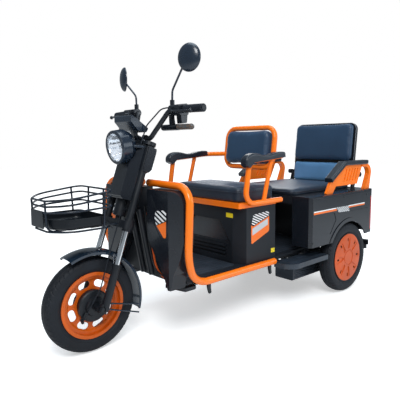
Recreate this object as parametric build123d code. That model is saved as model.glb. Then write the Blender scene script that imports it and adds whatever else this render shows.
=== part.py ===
from build123d import *
import os
from math import atan2, cos, degrees, hypot, radians, sin

os.makedirs("parts", exist_ok=True)

# Electric tricycle: one steered front wheel, a driver's seat on a battery box, and a two-seat rear
# tub between the driven rear wheels.  Stations x run forwards from the front axle, y to the
# vehicle's left and z up from the ground; put() moves everything to the origin, which is on the
# ground in the middle of the overall length.

# ------------------------------------------------------------------ driving dimensions, mm
WHEELBASE = 1460
REAR_TRACK = 664
FRONT_REACH = 205           # front axle to the plate on the basket
REAR_REACH = 1795           # front axle to the back of the rear backrest
BODY_HALF = 373             # rear tub, middle to outer skin
FLARE = 4                   # wheel arch lip, proud of the skin

TYRE_R = 204                # 3.00-10 tyre
TYRE_WIDTH = 80
RIM_R = 142                 # rim flange
BEAD_R = 131.7              # rim barrel, outside
BEAD_HALF = 30              # tyre bead, middle to flange
SHEET = 4                   # rim, shroud and panel thickness

RAKE = 20                   # steering axis, leaning back from vertical
AXLE_LEAD = 23              # front axle ahead of the steering axis
LEG_Y = 90                  # fork leg, middle to leg
LOWER_D = 34                # fork slider
STANCHION_D = 26
UPPER_D = 31                # fork tube between the yokes
AXLE_D = 14
STEM_D = 26
HEAD_TUBE_D = 56
SLIDER_TOP = 182            # heights s are along the steering axis, from the axle
YOKE_LOW = 325
YOKE_LOW_H = 53
HEAD_TUBE_S = 384
HEAD_TUBE_L = 176
YOKE_TOP = 708
YOKE_TOP_H = 16
BAR_S = 743                 # handlebar clamp
BAR_F = -10
BAR_D = 22
GRIP_D = 34
GRIP_Z = 1022
GRIP_X = -362
BAR_END_Y = 338

HOOP_D = 32                 # bent guard tube round leg shield and footboard
HOOP_X = -301
HOOP_TOP_Z = 703
HOOP_BEND = 75
HOOP_Y = 327
HOOP_LOW_Y = 280
HOOP_LOW_Z = 273
HOOP_END_X = -890
HOOK_X = (-431, -850)

FLOOR_Z = 287               # top of the footboard
FLOOR_T = 10
RAIL_Y = 170
RAIL_W = 30
RAIL_BOTTOM = 235.7
BULKHEAD_X = -322
FOOTWELL_END = -1400

BOX_FRONT = -668            # battery box under the driver's seat
BOX_REAR = -916
BOX_HALF = 262
FLOOR_HALF = BOX_HALF
SEAT_FRAME_EDGE = 24
BOX_TOP = 566
SEAT_FRAME_H = 26
CUSHION_T = 74
SEAT_CUSHION_HALF = 250
ARM_Y = 290                 # driver's armrest tubes
ARM_D = 26

TUB_FRONT = -1074           # rear tub
TUB_REAR = -1740
TUB_BOTTOM = 320
TUB_TOP = 590
TUB_INNER = 251
PANEL_X = -1699             # joint between side and rear panel
ARCH_R = 215
ARCH_BAND = 21
DECK_T = 12
REAR_CUSHION_T = 52
REAR_ARM_Y = 334
BACKREST_HALF = 228
BACKREST_TILT = 6.5
BACKREST_T = 58
BACKREST_TOP = 1000
BACKREST_LOW = 604

CASE_X = (-1358, -1090)     # motor controller under the left rail
CASE_Y = (126, 250)
CASE_LOW = 115
CASE_TOP = 198
HANGER_X = (-1330, -1120)

GAP = 0.3                   # between pieces that seat on each other

REAR_AXLE_X = -WHEELBASE
MID_X = (FRONT_REACH - REAR_REACH) / 2
RAIL_TOP = FLOOR_Z - FLOOR_T
CUSHION_Z = BOX_TOP + GAP + SEAT_FRAME_H + GAP
STEER = Pos(-AXLE_LEAD, 0, TYRE_R) * Rot(0, -RAKE, 0)
SIDES = (1, -1)


# ------------------------------------------------------------------ helpers
def put(node, *shapes):
    """Writes one node, moved from the front axle's frame to the part's origin."""
    whole = shapes[0] if len(shapes) == 1 else Compound(children=list(shapes))
    export_step(Pos(-MID_X, 0, 0) * whole, f"parts/{node}.step")


def face_of(points, corner=0):
    """Closed outline with its corners rounded."""
    face = make_face(Polyline(*points, close=True))
    return fillet(face.vertices(), corner) if corner else face


def slab_xy(points, z0, z1, corner=0):
    return extrude(Plane.XY.offset(z0) * face_of(points, corner), z1 - z0)


def slab_xz(points, y0, y1, corner=0):
    return extrude(Plane.XZ.offset(-y1) * face_of(points, corner), y1 - y0)


def slab_yz(points, x0, x1, corner=0):
    return extrude(Plane.YZ.offset(x0) * face_of(points, corner), x1 - x0)


def block(x0, x1, y0, y1, z0, z1):
    return Pos((x0 + x1) / 2, (y0 + y1) / 2, (z0 + z1) / 2) * Box(abs(x1 - x0), abs(y1 - y0), abs(z1 - z0))


def tube(points, bends, size, closed=False):
    """Round bar along straight runs joined by tangent arcs."""
    if len(points) > 2:
        path = FilletPolyline(*points, radius=bends, close=closed)
    else:
        path = Line(*points)
    return sweep(Plane(path @ 0, z_dir=path % 0) * Circle(size / 2), path=path)


def rod(start, end, size):
    run = Vector(*end) - Vector(*start)
    return extrude(Plane(start, z_dir=run) * Circle(size / 2), run.length)


def mirrored(shape):
    return mirror(shape, about=Plane.XZ)


def both(shape):
    """The same piece on the left and on the right."""
    return [shape, mirrored(shape)]


def flip(points, side):
    return [(x, side * y, z) for x, y, z in points]


def on_steer(f, y, s):
    """Point given ahead of, beside and along the steering axis."""
    lean = radians(RAKE)
    return (
        -AXLE_LEAD + f * cos(lean) - s * sin(lean),
        y,
        TYRE_R + f * sin(lean) + s * cos(lean),
    )


def ring(section):
    """Section in radius and axial place, turned about the wheel's axle."""
    return revolve(section, Axis.Y, 360)


# ------------------------------------------------------------------ wheels
HUB_R = 65
HUB_HALF = 26
WEB_Y = 8
SLOT_R = 92
SLOTS = 8
COVER_R = 138
REAR_STUB_D = 24
REAR_HUB_R = 38


def tyre():
    shoulder = (TYRE_R - 10, TYRE_WIDTH / 2 - 7)
    bead = RIM_R + 1
    side = ThreePointArc((bead, BEAD_HALF), (TYRE_R - 38, TYRE_WIDTH / 2), shoulder)
    crown = ThreePointArc(shoulder, (TYRE_R, 0), (shoulder[0], -shoulder[1]))
    other = ThreePointArc((shoulder[0], -shoulder[1]), (TYRE_R - 38, -TYRE_WIDTH / 2), (bead, -BEAD_HALF))
    base = Polyline(
        (bead, -BEAD_HALF), (BEAD_R + GAP, -BEAD_HALF), (BEAD_R + GAP, BEAD_HALF), (bead, BEAD_HALF)
    )
    return ring(make_face(side + crown + other + base))


def barrel():
    lip = BEAD_HALF + GAP + SHEET
    inner = BEAD_R - SHEET
    outline = [
        (inner, -lip), (RIM_R, -lip), (RIM_R, -lip + SHEET), (BEAD_R, -lip + SHEET),
        (BEAD_R, lip - SHEET), (RIM_R, lip - SHEET), (RIM_R, lip), (inner, lip),
    ]
    return ring(face_of(outline))


def web(hub_r, y, step):
    """Pressed disc from the hub to the barrel, stepped outwards near the barrel."""
    edge = BEAD_R - SHEET + 1
    outline = [
        (hub_r, y), (edge - 22, y), (edge - 14, y + step), (edge, y + step),
        (edge, y + step + SHEET), (edge - 16, y + step + SHEET), (edge - 24, y + SHEET), (hub_r, y + SHEET),
    ]
    return ring(face_of(outline))


def front_rim():
    rim = barrel() + web(HUB_R + GAP, WEB_Y, 8)
    slot = extrude(Plane.XZ.offset(-WEB_Y - 20) * SlotOverall(52, 30), 40)
    for turn in range(SLOTS):
        rim -= Rot(0, turn * 360 / SLOTS + 18, 0) * Pos(0, 0, SLOT_R) * slot
    return rim


def front_hub():
    drum = [
        (AXLE_D / 2 + GAP, -HUB_HALF - 20), (26, -HUB_HALF - 20), (30, -HUB_HALF), (HUB_R, -HUB_HALF),
        (HUB_R, HUB_HALF), (HUB_R - 8, HUB_HALF), (HUB_R - 8, -6), (20, -6),
        (20, HUB_HALF), (AXLE_D / 2 + GAP, HUB_HALF),
    ]
    return ring(face_of(drum))


def rear_rim():
    """Rear wheel about its own middle, outer side at +y."""
    hub = ring(face_of([
        (REAR_STUB_D / 2 + GAP, -BEAD_HALF), (REAR_HUB_R, -BEAD_HALF), (REAR_HUB_R, 18),
        (REAR_STUB_D / 2 + GAP, 18),
    ]))
    return barrel() + web(REAR_HUB_R - 1, WEB_Y, 6) + hub


def wheel_cover():
    """Domed cover: hub cap disc, then a trough for each slot, with raised petals between."""
    rim = BEAD_HALF + SHEET + 2 * GAP
    dome = make_face(
        Polyline((0, rim + 7), (36, rim + 7))
        + ThreePointArc((36, rim + 7), (92, rim + 6.5), (COVER_R, rim + 2))
        + Polyline((COVER_R, rim + 2), (COVER_R, rim), (0, rim), (0, rim + 7))
    )
    cover = ring(dome)
    cover -= ring(face_of([(40, rim + 5), (40, rim + 9), (48, rim + 9), (48, rim + 5)]))
    trough = Plane.XZ.offset(-rim - 3) * trough_face()
    slot = extrude(Plane.XZ.offset(-rim - 12) * SlotOverall(22, 11), 30)
    for turn in range(SLOTS):
        spin = Rot(0, turn * 360 / SLOTS, 0)
        cover -= spin * extrude(trough, 12, dir=(0, 1, 0))
        cover -= spin * Pos(COVER_R - 33, 0, 0) * slot
    return cover


def trough_face():
    """Wedge-shaped trough with a rounded inner end, widening to the cover's edge."""
    return fillet(make_face(Polyline((54, -7), (118, -21), (118, 21), (54, 7), close=True)).vertices(), 6)


AXLE_AT = Pos(0, 0, TYRE_R)
put("front_tyre", AXLE_AT * tyre())
put("front_rim", AXLE_AT * front_rim())
put("front_hub", AXLE_AT * front_hub())
for side, name in ((1, "left"), (-1, "right")):
    place = Pos(REAR_AXLE_X, side * REAR_TRACK / 2, TYRE_R) * Rot(0, 0, 0 if side == 1 else 180)
    put(f"rear_{name}_tyre", place * tyre())
    put(f"rear_{name}_rim", place * rear_rim())
    put(f"rear_{name}_cover", place * wheel_cover())

# ------------------------------------------------------------------ fork and steering
LUG_Y0 = LEG_Y - 8
LUG_Y1 = LEG_Y + 8
PLATE_GAP = 2               # between the turning hub and the fixed brake plate


def leg(y, s0, s1, size):
    return Pos(0, y, s0) * extrude(Circle(size / 2), s1 - s0)


def fork_slider(side):
    lean = radians(RAKE)
    axle_f = AXLE_LEAD * cos(lean)
    axle_s = -AXLE_LEAD * sin(lean)
    body = leg(side * LEG_Y, -14, SLIDER_TOP, LOWER_D)
    seal = leg(side * LEG_Y, SLIDER_TOP - 14, SLIDER_TOP, LOWER_D + 6)
    lug = make_face(Polyline(
        (-8, -26), (axle_f, axle_s - 17), (axle_f + 17, axle_s), (axle_f, axle_s + 17), (-8, 34), close=True
    ))
    lug = extrude(Plane.XZ.offset(-LUG_Y1) * lug, LUG_Y1 - LUG_Y0)
    lug = lug if side == 1 else mirrored(lug)
    axle = Pos(axle_f, side * LEG_Y, axle_s) * Rot(90, 0, 0)
    seats = Cylinder(17, 80) - Cylinder(20, LUG_Y1 - LUG_Y0)
    return body + seal + lug - axle * Cylinder(AXLE_D / 2 + GAP, 60) - axle * seats


def front_brake():
    """Axle, its nuts, and the drum's fixed plate with the cable lever."""
    y0 = HUB_HALF + PLATE_GAP
    plate = ring(face_of([
        (AXLE_D / 2 - 1, y0), (HUB_R + 3, y0), (HUB_R + 3, y0 + 9), (HUB_R - 3, y0 + 13), (42, y0 + 13),
        (38, y0 + 24), (16, y0 + 26), (16, LUG_Y0 - GAP), (AXLE_D / 2 - 1, LUG_Y0 - GAP),
    ]))
    half = LUG_Y1 + 14
    axle = Rot(90, 0, 0) * Cylinder(AXLE_D / 2, 2 * half)
    nuts = [
        Pos(0, side * (LUG_Y1 + GAP + 5), 0) * Rot(90, 0, 0) * extrude(RegularPolygon(12, 6), 5, both=True)
        for side in SIDES
    ]
    spacer = Pos(0, -(HUB_HALF + 20 + LUG_Y0) / 2, 0) * Rot(90, 0, 0) * Cylinder(11, LUG_Y0 - HUB_HALF - 22)
    lever = slab_xz([(34, -22), (42, -14), (66, -44), (60, -62), (50, -60), (52, -46)], y0 + 8, y0 + 18)
    return plate + axle + nuts[0] + nuts[1] + spacer + lever


def yoke_plate(s0, height, half):
    plate = extrude(Plane.XY.offset(s0) * RectangleRounded(54, 2 * half, 24), height)
    return plate


def fork_yokes():
    whole = yoke_plate(YOKE_LOW + 10, YOKE_LOW_H - 20, LEG_Y + 24)
    whole += yoke_plate(YOKE_TOP, YOKE_TOP_H, LEG_Y + 22)
    whole += leg(0, YOKE_LOW + 10, YOKE_TOP + YOKE_TOP_H, STEM_D)
    for side in SIDES:
        whole += leg(side * LEG_Y, YOKE_LOW, YOKE_LOW + YOKE_LOW_H, UPPER_D + 14)
        whole += leg(side * LEG_Y, YOKE_LOW + YOKE_LOW_H, YOKE_TOP + YOKE_TOP_H, UPPER_D)
        clamp = slab_xz(
            [(BAR_F - 17, YOKE_TOP + 8), (BAR_F + 17, YOKE_TOP + 8), (BAR_F + 17, BAR_S + 15), (BAR_F - 17, BAR_S + 15)],
            20, 46, 5,
        )
        whole += clamp if side == 1 else mirrored(clamp)
    bore = Pos(BAR_F, 0, BAR_S) * Rot(90, 0, 0) * Cylinder(BAR_D / 2 + 0.1, 120)
    return whole - bore


put("fork_sliders", *[STEER * fork_slider(side) for side in SIDES])
put("fork_stanchions", *[STEER * leg(side * LEG_Y, SLIDER_TOP + GAP, YOKE_LOW - GAP, STANCHION_D) for side in SIDES])
put("fork_yokes", STEER * fork_yokes())
put("front_brake", AXLE_AT * front_brake())

# ------------------------------------------------------------------ handlebar and what it carries
BAR_X, _, BAR_Z = on_steer(BAR_F, 0, BAR_S)
BAR_HALF_LOW = 63
BAR_BEND_Y = 122
CONTROL_Y0 = 152
CONTROL_Y1 = 216
MIRROR_Y = 140
INDICATOR_Z = 948
INDICATOR_Y = (72, 190, 286)


def bar_path():
    half = [(GRIP_X, BAR_END_Y, GRIP_Z), (GRIP_X + 8, BAR_BEND_Y, GRIP_Z + 4), (BAR_X, BAR_HALF_LOW, BAR_Z)]
    return half + [(x, -y, z) for x, y, z in reversed(half)]


def along_bar(y0, y1, size, grow=0.0):
    """Sleeve on the outer run of the handlebar."""
    run = (BAR_END_Y - BAR_BEND_Y)
    slope_x = 8 / run
    slope_z = 4 / run
    ends = [
        (GRIP_X + (BAR_END_Y - y) * slope_x, y, GRIP_Z + (BAR_END_Y - y) * slope_z) for y in (y0, y1)
    ]
    sleeve = rod(ends[0], ends[1], size)
    hollow = rod(ends[0], ends[1], BAR_D + 2 * GAP)
    return sleeve - hollow if grow == 0 else sleeve


def grip():
    return along_bar(CONTROL_Y1 + 10, BAR_END_Y - 3, GRIP_D)


def control():
    """Switch housing, mirror boss, lever perch and brake lever of the left hand."""
    house = slab_xz(
        [(GRIP_X - 22, GRIP_Z - 24), (GRIP_X + 30, GRIP_Z - 24), (GRIP_X + 34, GRIP_Z + 20), (GRIP_X - 16, GRIP_Z + 26)],
        CONTROL_Y0, CONTROL_Y1, 9,
    )
    lobe = slab_xz(
        [(GRIP_X - 14, GRIP_Z - 56), (GRIP_X + 14, GRIP_Z - 60), (GRIP_X + 18, GRIP_Z - 20), (GRIP_X - 18, GRIP_Z - 20)],
        CONTROL_Y0 + 28, CONTROL_Y1 - 4, 5,
    )
    boss = along_bar(MIRROR_Y - 11, MIRROR_Y + 11.9, 38, grow=1)
    neck = rod((GRIP_X + 8, MIRROR_Y, GRIP_Z), (GRIP_X + 8, MIRROR_Y, GRIP_Z + 44), 20)
    perch = rod((GRIP_X + 20, CONTROL_Y0 + 12, GRIP_Z - 4), (GRIP_X + 52, CONTROL_Y0 + 22, GRIP_Z - 6), 18)
    blade = tube(
        [(GRIP_X + 46, CONTROL_Y0 + 14, GRIP_Z - 6), (GRIP_X + 62, CONTROL_Y1, GRIP_Z - 10),
         (GRIP_X + 48, BAR_END_Y - 30, GRIP_Z - 12)], 60, 10,
    )
    tip = Pos(GRIP_X + 48, BAR_END_Y - 30, GRIP_Z - 12) * Sphere(9)
    whole = house + lobe + boss + neck + perch + blade + tip
    bar = tube(bar_path(), [36, 24, 24, 36], BAR_D + 2 * GAP)
    return whole - bar


def mirror_piece(y, z, side):
    """Stalk from the mirror boss to an oval head, its glass facing back and inwards."""
    head_x = GRIP_X
    foot = (GRIP_X + 8, MIRROR_Y, GRIP_Z + 44 + GAP)
    stalk = tube([foot, (GRIP_X + 8, MIRROR_Y + 2, GRIP_Z + 84), (head_x + 12, y, z)], 34, 9)
    shell = scale(Sphere(1), by=(24, 54, 59))
    shell -= Pos(-20, 0, 0) * Box(40, 140, 140)
    head = Pos(head_x, y, z) * Rot(0, 0, 20) * shell
    whole = stalk + head
    return whole if side == 1 else mirrored(whole)


def indicator_body():
    arm = slab_yz(
        [(CONTROL_Y0 - 14, INDICATOR_Z), (CONTROL_Y0 + 8, INDICATOR_Z), (CONTROL_Y0 - GAP, GRIP_Z - 30),
         (CONTROL_Y0 - GAP, GRIP_Z - 19), (CONTROL_Y0 - 18, GRIP_Z - 19)], GRIP_X + 6, GRIP_X + 24,
    )
    shell = rod((GRIP_X + 15, INDICATOR_Y[0] + 13, INDICATOR_Z), (GRIP_X + 15, INDICATOR_Y[1], INDICATOR_Z), 27)
    nose = Pos(GRIP_X + 15, INDICATOR_Y[0] + 13, INDICATOR_Z) * Sphere(13.5)
    return arm + shell + nose


def indicator_lens():
    lens = rod((GRIP_X + 15, INDICATOR_Y[1] + GAP, INDICATOR_Z), (GRIP_X + 15, INDICATOR_Y[2], INDICATOR_Z), 25)
    return fillet(lens.edges().group_by(Axis.Y)[-1], 10)


DASH_HALF = 68
DASH = [(-188, 1006), (-276, 945), (-264, 927), (-222, 936), (-188, 974)]


def dash():
    case = slab_xz(DASH, -DASH_HALF, DASH_HALF, 6)
    foot_x, _, foot_z = on_steer(16, 0, YOKE_TOP + YOKE_TOP_H + GAP)
    lean_x, _, lean_z = on_steer(2, 0, YOKE_TOP + YOKE_TOP_H + GAP)
    post = slab_xz([(-230, 938), (-252, 930), (lean_x, lean_z), (foot_x, foot_z)], -14, 14)
    return case + post


put("handlebar", tube(bar_path(), [36, 24, 24, 36], BAR_D))
put("grips", *both(grip()))
put("hand_controls", *both(control()))
put("mirrors", mirror_piece(250, 1232, 1), mirror_piece(250, 1196, -1))
put("indicators", *both(indicator_body()))
put("dash", dash())

# ------------------------------------------------------------------ headlight, shroud, glove box
LAMP = (-143, 0, 862)
LAMP_R = 74
LAMP_DIP = 8
LAMP_DEPTH = 90
LAMP_AT = Pos(*LAMP) * Rot(0, 90 + LAMP_DIP, 0)
SHROUD_F = 50
SHROUD_FRONT_HALF = 48
SHROUD_HALF = 90
SHROUD_LOW = 456
SHROUD_TOP = 704
BOX_BACK_F = -64
BOX_FRONT_F = -19
BOX_LOW = 572           # clears the head tube and the hoops when steered


def lamp_ears(size):
    """Two bars from the lamp's sides back to the fork tubes."""
    ends = [on_steer(UPPER_D / 2 + GAP, side * (LEG_Y - 6), YOKE_TOP - 12) for side in SIDES]
    return [rod((LAMP[0] - 52, side * (LAMP_R - 5), LAMP[2] + 6), end, size) for side, end in zip(SIDES, ends)]


def headlight_shell():
    """Bowl, open to the front, with a bezel and two ears that reach back to the fork."""
    outline = [
        (0, -LAMP_DEPTH), (38, -LAMP_DEPTH), (60, -LAMP_DEPTH + 18), (LAMP_R, -LAMP_DEPTH + 44), (LAMP_R, -4),
        (LAMP_R - 3, 0), (LAMP_R - 13, 0), (LAMP_R - 13, -10), (LAMP_R - 5, -12), (LAMP_R - 5, -LAMP_DEPTH + 46),
        (57, -LAMP_DEPTH + 22), (36, -LAMP_DEPTH + 4), (0, -LAMP_DEPTH + 4),
    ]
    bowl = revolve(Plane.XZ * face_of(outline), Axis.Z, 360)
    bowl = LAMP_AT * bowl
    for ear in lamp_ears(12):
        bowl += ear
    keep_out = STEER * leg(LEG_Y, YOKE_LOW, YOKE_TOP + 20, UPPER_D + 2 * GAP)
    return bowl - keep_out - mirrored(keep_out)


def headlight_lens():
    r = LAMP_R - 13 - GAP
    rise = 10
    sphere = (r * r + rise * rise) / (2 * rise)
    glass = Cylinder(r, 30) & Pos(0, 0, rise - 1 - sphere) * Sphere(sphere)
    return LAMP_AT * (glass & Pos(0, 0, 6) * Box(200, 200, 28))


def shroud_prism(inset, top):
    """Front cover ahead of the fork tubes: flat front, bevelled sides."""
    front, half = SHROUD_F - inset, SHROUD_HALF - inset
    rear = UPPER_D / 2 + GAP - (30 if inset else 0)
    edge = SHROUD_FRONT_HALF - inset * 0.5
    outline = [
        (front, -edge), (front, edge), (22 - inset, half), (rear, half), (rear, -half), (22 - inset, -half),
    ]
    return extrude(Plane.XY.offset(SHROUD_LOW + inset) * face_of(outline), top - inset - SHROUD_LOW - inset)


def shroud():
    """Moulded cover, open behind, cut away round the headlight."""
    whole = STEER * (shroud_prism(0, SHROUD_TOP) - shroud_prism(SHEET, SHROUD_TOP))
    bowl = revolve(Plane.XZ * face_of([
        (0, 10), (LAMP_R + 2, 10), (LAMP_R + 2, -LAMP_DEPTH + 43), (62, -LAMP_DEPTH + 17), (40, -LAMP_DEPTH - 2),
        (0, -LAMP_DEPTH - 2),
    ]), Axis.Z, 360)
    chin = STEER * slab_xz([(30, SHROUD_LOW - 5), (SHROUD_F - 12, SHROUD_LOW - 5), (SHROUD_F + 5, SHROUD_LOW + 18),
                            (SHROUD_F + 20, SHROUD_LOW - 5)], -100, 100)
    whole -= STEER * leg(0, SHROUD_LOW - 5, SHROUD_LOW + 20, HEAD_TUBE_D + 12)
    for ear in lamp_ears(14):
        whole -= ear
    return whole - LAMP_AT * bowl - chin


def glove_box():
    """Box behind the fork, with a lip to each fork tube and a lock barrel."""
    half = 60
    outline = [
        (BOX_FRONT_F, BOX_LOW), (BOX_FRONT_F - 26, BOX_LOW + 24), (BOX_BACK_F, BOX_LOW + 44),
        (BOX_BACK_F, 700), (BOX_FRONT_F, 702),
    ]
    case = slab_xz(outline, -half, half, 4)
    lip = -UPPER_D / 2 - GAP
    case += slab_xz([(lip, 694), (lip, 701), (-44, 701), (-44, 694)], -88, 88)
    case += slab_xz([(BOX_FRONT_F + 2, BOX_LOW + 8), (BOX_FRONT_F + 2, 698), (BOX_FRONT_F - 3, 698),
                     (BOX_FRONT_F - 3, BOX_LOW + 8)], -82, 82)
    case += slab_xz([(BOX_FRONT_F, 604), (-27, 604), (-27, 701), (BOX_FRONT_F, 701)], -110, 110)
    cheek = slab_xz([(14, 592), (-19, 592), (-27, 604), (-27, 701), (14, 703)], 106, 110)
    case += cheek + mirrored(cheek)
    lock = Pos(-42, half, 660) * Rot(90, 0, 0) * Cylinder(9, 6)
    return case + lock


put("headlight_shell", headlight_shell())
put("lamp_lenses", headlight_lens(), *both(indicator_lens()))
put("shroud", shroud())
put("glove_box", STEER * glove_box())

# ------------------------------------------------------------------ basket
WIRE = 8
BASKET_REAR = -48
BASKET_HALF = 150
BASKET_LOW = 549
RIM_FRONT_Z = 668
RIM_REAR_Z = 696
PLATE_T = 3
WIRE_FRONT = FRONT_REACH - PLATE_T - GAP - WIRE / 2


def basket_plan(inset, z_front, z_rear):
    """Rounded wedge, narrow at the front, in a plane that rises to the rear."""
    def z_at(x):
        return z_front + (z_rear - z_front) * (WIRE_FRONT - x) / (WIRE_FRONT - BASKET_REAR)
    half = BASKET_HALF - inset
    corners = [
        (WIRE_FRONT - inset * 0.5, 66 - inset * 0.3), (140 - inset * 0.5, half), (BASKET_REAR + inset * 0.4, half),
        (BASKET_REAR + inset * 0.4, -half), (140 - inset * 0.5, -half), (WIRE_FRONT - inset * 0.5, -66 + inset * 0.3),
    ]
    return [(x, y, z_at(x)) for x, y in corners]


def basket():
    bends = [45, 105, 38, 38, 105, 45]
    whole = None
    for drop_front, drop_rear, inset in ((0, 0, 0), (22, 24, 0), (44, 62, 0)):
        plan = basket_plan(inset, RIM_FRONT_Z - drop_front, RIM_REAR_Z - drop_rear)
        loop = tube(plan, bends, WIRE, closed=True)
        whole = loop if whole is None else whole + loop
    whole += tube(basket_plan(16, BASKET_LOW, BASKET_LOW), bends, WIRE, closed=True)
    for y in (-65, 65):
        hoop = [
            (WIRE_FRONT, y, RIM_FRONT_Z), (WIRE_FRONT - 4, y, BASKET_LOW), (BASKET_REAR + 6, y, BASKET_LOW),
            (BASKET_REAR, y, RIM_REAR_Z),
        ]
        whole += tube(hoop, [30, 22], WIRE)
    for side in SIDES:
        upright = [(BASKET_REAR + 40, side * BASKET_HALF, RIM_REAR_Z - 5),
                   (BASKET_REAR + 40, side * (BASKET_HALF - 16), BASKET_LOW)]
        whole += rod(upright[0], upright[1], WIRE)
        arm_end = on_steer(27 + GAP, 0, YOKE_LOW + 18)
        whole += block(arm_end[0] + 3, BASKET_REAR + 60, side * 44, side * 62, BASKET_LOW - 9, BASKET_LOW - 3)
    return whole


def tray_form(inset, low, high, edge):
    """Tray body with its lower edge rounded, so that it sits inside the wires' bends."""
    front, half, rear = WIRE_FRONT - 18 - inset, 128 - inset, BASKET_REAR + 15 + inset
    form = slab_xy([(front, 58), (132, half), (rear, half), (rear, -half), (132, -half), (front, -58)],
                   low, high, 34 - inset)
    return fillet(form.edges().group_by(Axis.Z)[0], edge)


def basket_tray():
    """Tray's floor, and the wall that stands round it."""
    low = BASKET_LOW + WIRE / 2 + GAP
    shell = tray_form(0, low, low + 42, 14) - tray_form(3, low + 3, low + 60, 11)
    front, half, rear = WIRE_FRONT - 34, 112, BASKET_REAR + 31

    def middle(grow):
        return slab_xy([(front + grow, 48), (126 + grow, half + grow), (rear - grow, half + grow),
                        (rear - grow, -half - grow), (126 + grow, -half - grow), (front + grow, -48)],
                       low - 1, low + 50)
    return [shell & middle(0), shell - middle(GAP)]


def basket_plate():
    return slab_yz([(-60, 562), (60, 562), (57, 630), (-57, 630)], FRONT_REACH - PLATE_T, FRONT_REACH, 5)


put("basket", basket())
put("basket_tray", *basket_tray(), basket_plate())

# ------------------------------------------------------------------ front fender
FENDER_R = 239
FENDER_HALF = 52


def front_fender():
    """Crowned band round the tyre, with struts down to the sliders."""
    r = FENDER_R
    section = make_face(
        Polyline((r - 20, FENDER_HALF - 3), (r - 20, FENDER_HALF), (r - 10, FENDER_HALF))
        + ThreePointArc((r - 10, FENDER_HALF), (r, 0), (r - 10, -FENDER_HALF))
        + Polyline((r - 10, -FENDER_HALF), (r - 20, -FENDER_HALF), (r - 20, -FENDER_HALF + 3),
                   (r - 12, -FENDER_HALF + 3))
        + ThreePointArc((r - 12, -FENDER_HALF + 3), (r - 3, 0), (r - 12, FENDER_HALF - 3))
        + Line((r - 12, FENDER_HALF - 3), (r - 20, FENDER_HALF - 3))
    )
    band = Rot(0, -64, 0) * revolve(section, Axis.Y, -133)
    band = AXLE_AT * band
    inner = LEG_Y - LOWER_D / 2 - GAP
    whole = band
    for tail, foot in (
        ((-97, FENDER_HALF - 4, TYRE_R + 208), on_steer(0, inner - 3.6, SLIDER_TOP - 24)),
        ((-222, FENDER_HALF - 2, TYRE_R - 46), on_steer(-2, inner - 3.8, 12)),
        ((-212, FENDER_HALF - 2, TYRE_R - 82), on_steer(-2, inner - 3.8, -10)),
    ):
        strut = rod(tail, foot, 7)
        whole += strut + mirrored(strut)
    return whole


put("front_fender", front_fender())


def front_cables():
    """Brake cable down the left riser and the fork leg, and a shorter wire on the right riser."""
    lever = (GRIP_X + 50, CONTROL_Y0 + 8, GRIP_Z + 8)
    run = [lever, (-302, 128, GRIP_Z + 4), (-256, 82, 956), on_steer(33, 70.5, SHROUD_TOP + GAP + 0.2)]
    drop = [on_steer(34, 66, 400), on_steer(34, 64, 230), on_steer(30, 64, 70), (40, 60, 190), (62, 49, 150)]
    return [tube(run, [34, 60], 6), tube(flip(run, -1), [34, 60], 6), tube(drop, [300, 120, 40], 5)]


put("front_cables", *front_cables())

# ------------------------------------------------------------------ hoops and main frame
TAB_X = (-390, -798)
DOWN_Y = 33
DOWN_X = (-238, -300)       # down tubes, top and bottom
DOWN_D = 28
NECK_HALF = 33


def hoop_path():
    return [
        (HOOP_X, 24, HOOP_TOP_Z), (HOOP_X + 8, HOOP_Y, HOOP_TOP_Z - 3), (-277, HOOP_Y, 395),
        (-350, HOOP_LOW_Y + 4, HOOP_LOW_Z), (HOOP_END_X, HOOP_LOW_Y, HOOP_LOW_Z),
    ]


def hoop(grow=0.0):
    return tube(hoop_path(), [HOOP_BEND, 190, 140], HOOP_D + grow)


RAIL_FRONT = TAB_X[0] - 15
RAIL_REAR = TUB_REAR + 24 + GAP
MOUNT_X = (-1475, -1445)


def frame_head():
    """Head tube, neck and the two down tubes."""
    whole = STEER * leg(0, HEAD_TUBE_S, HEAD_TUBE_S + HEAD_TUBE_L, HEAD_TUBE_D)
    seat = HOOP_TOP_Z - HOOP_D / 2 - GAP
    whole += slab_xz([(-166, 592), (-206, 702), (-250, seat), (HOOP_X - 16, seat), (HOOP_X - 14, 640), (-262, 566)],
                     -NECK_HALF, NECK_HALF)
    for side in SIDES:
        whole += rod((DOWN_X[0], side * DOWN_Y, 590), (DOWN_X[1], side * DOWN_Y, 278), DOWN_D)
    return whole - STEER * leg(0, HEAD_TUBE_S - 10, HEAD_TUBE_S + HEAD_TUBE_L + 10, STEM_D + 2)


def frame_rail(side):
    """Side rail with the outriggers that carry the hoop."""
    edges = sorted((side * (RAIL_Y - RAIL_W / 2), side * (RAIL_Y + RAIL_W / 2)))
    whole = block(RAIL_REAR, RAIL_FRONT, *edges, RAIL_BOTTOM, RAIL_TOP)
    whole += block(-1265, -1238, side * RAIL_Y, side * 228, 238, 262)
    for x in TAB_X:
        whole += block(x - 15, x + 15, side * RAIL_Y, side * (HOOP_LOW_Y - HOOP_D / 2 - GAP), RAIL_TOP - 15, RAIL_TOP)
    return whole


def hanger():
    return [block(x, x + 20, RAIL_Y - 15, RAIL_Y + 15, CASE_TOP + GAP, RAIL_BOTTOM - GAP) for x in HANGER_X]


def hook(x, side):
    """Small hook under the hoop."""
    top = HOOP_LOW_Z - HOOP_D / 2 - GAP
    outline = [(x - 9, top), (x + 7, top), (x + 7, top - 14), (x - 2, top - 44), (x - 12, top - 40), (x - 9, top - 16)]
    edges = sorted((side * (HOOP_LOW_Y - 6), side * (HOOP_LOW_Y + 6)))
    return slab_xz(outline, *edges)


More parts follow.
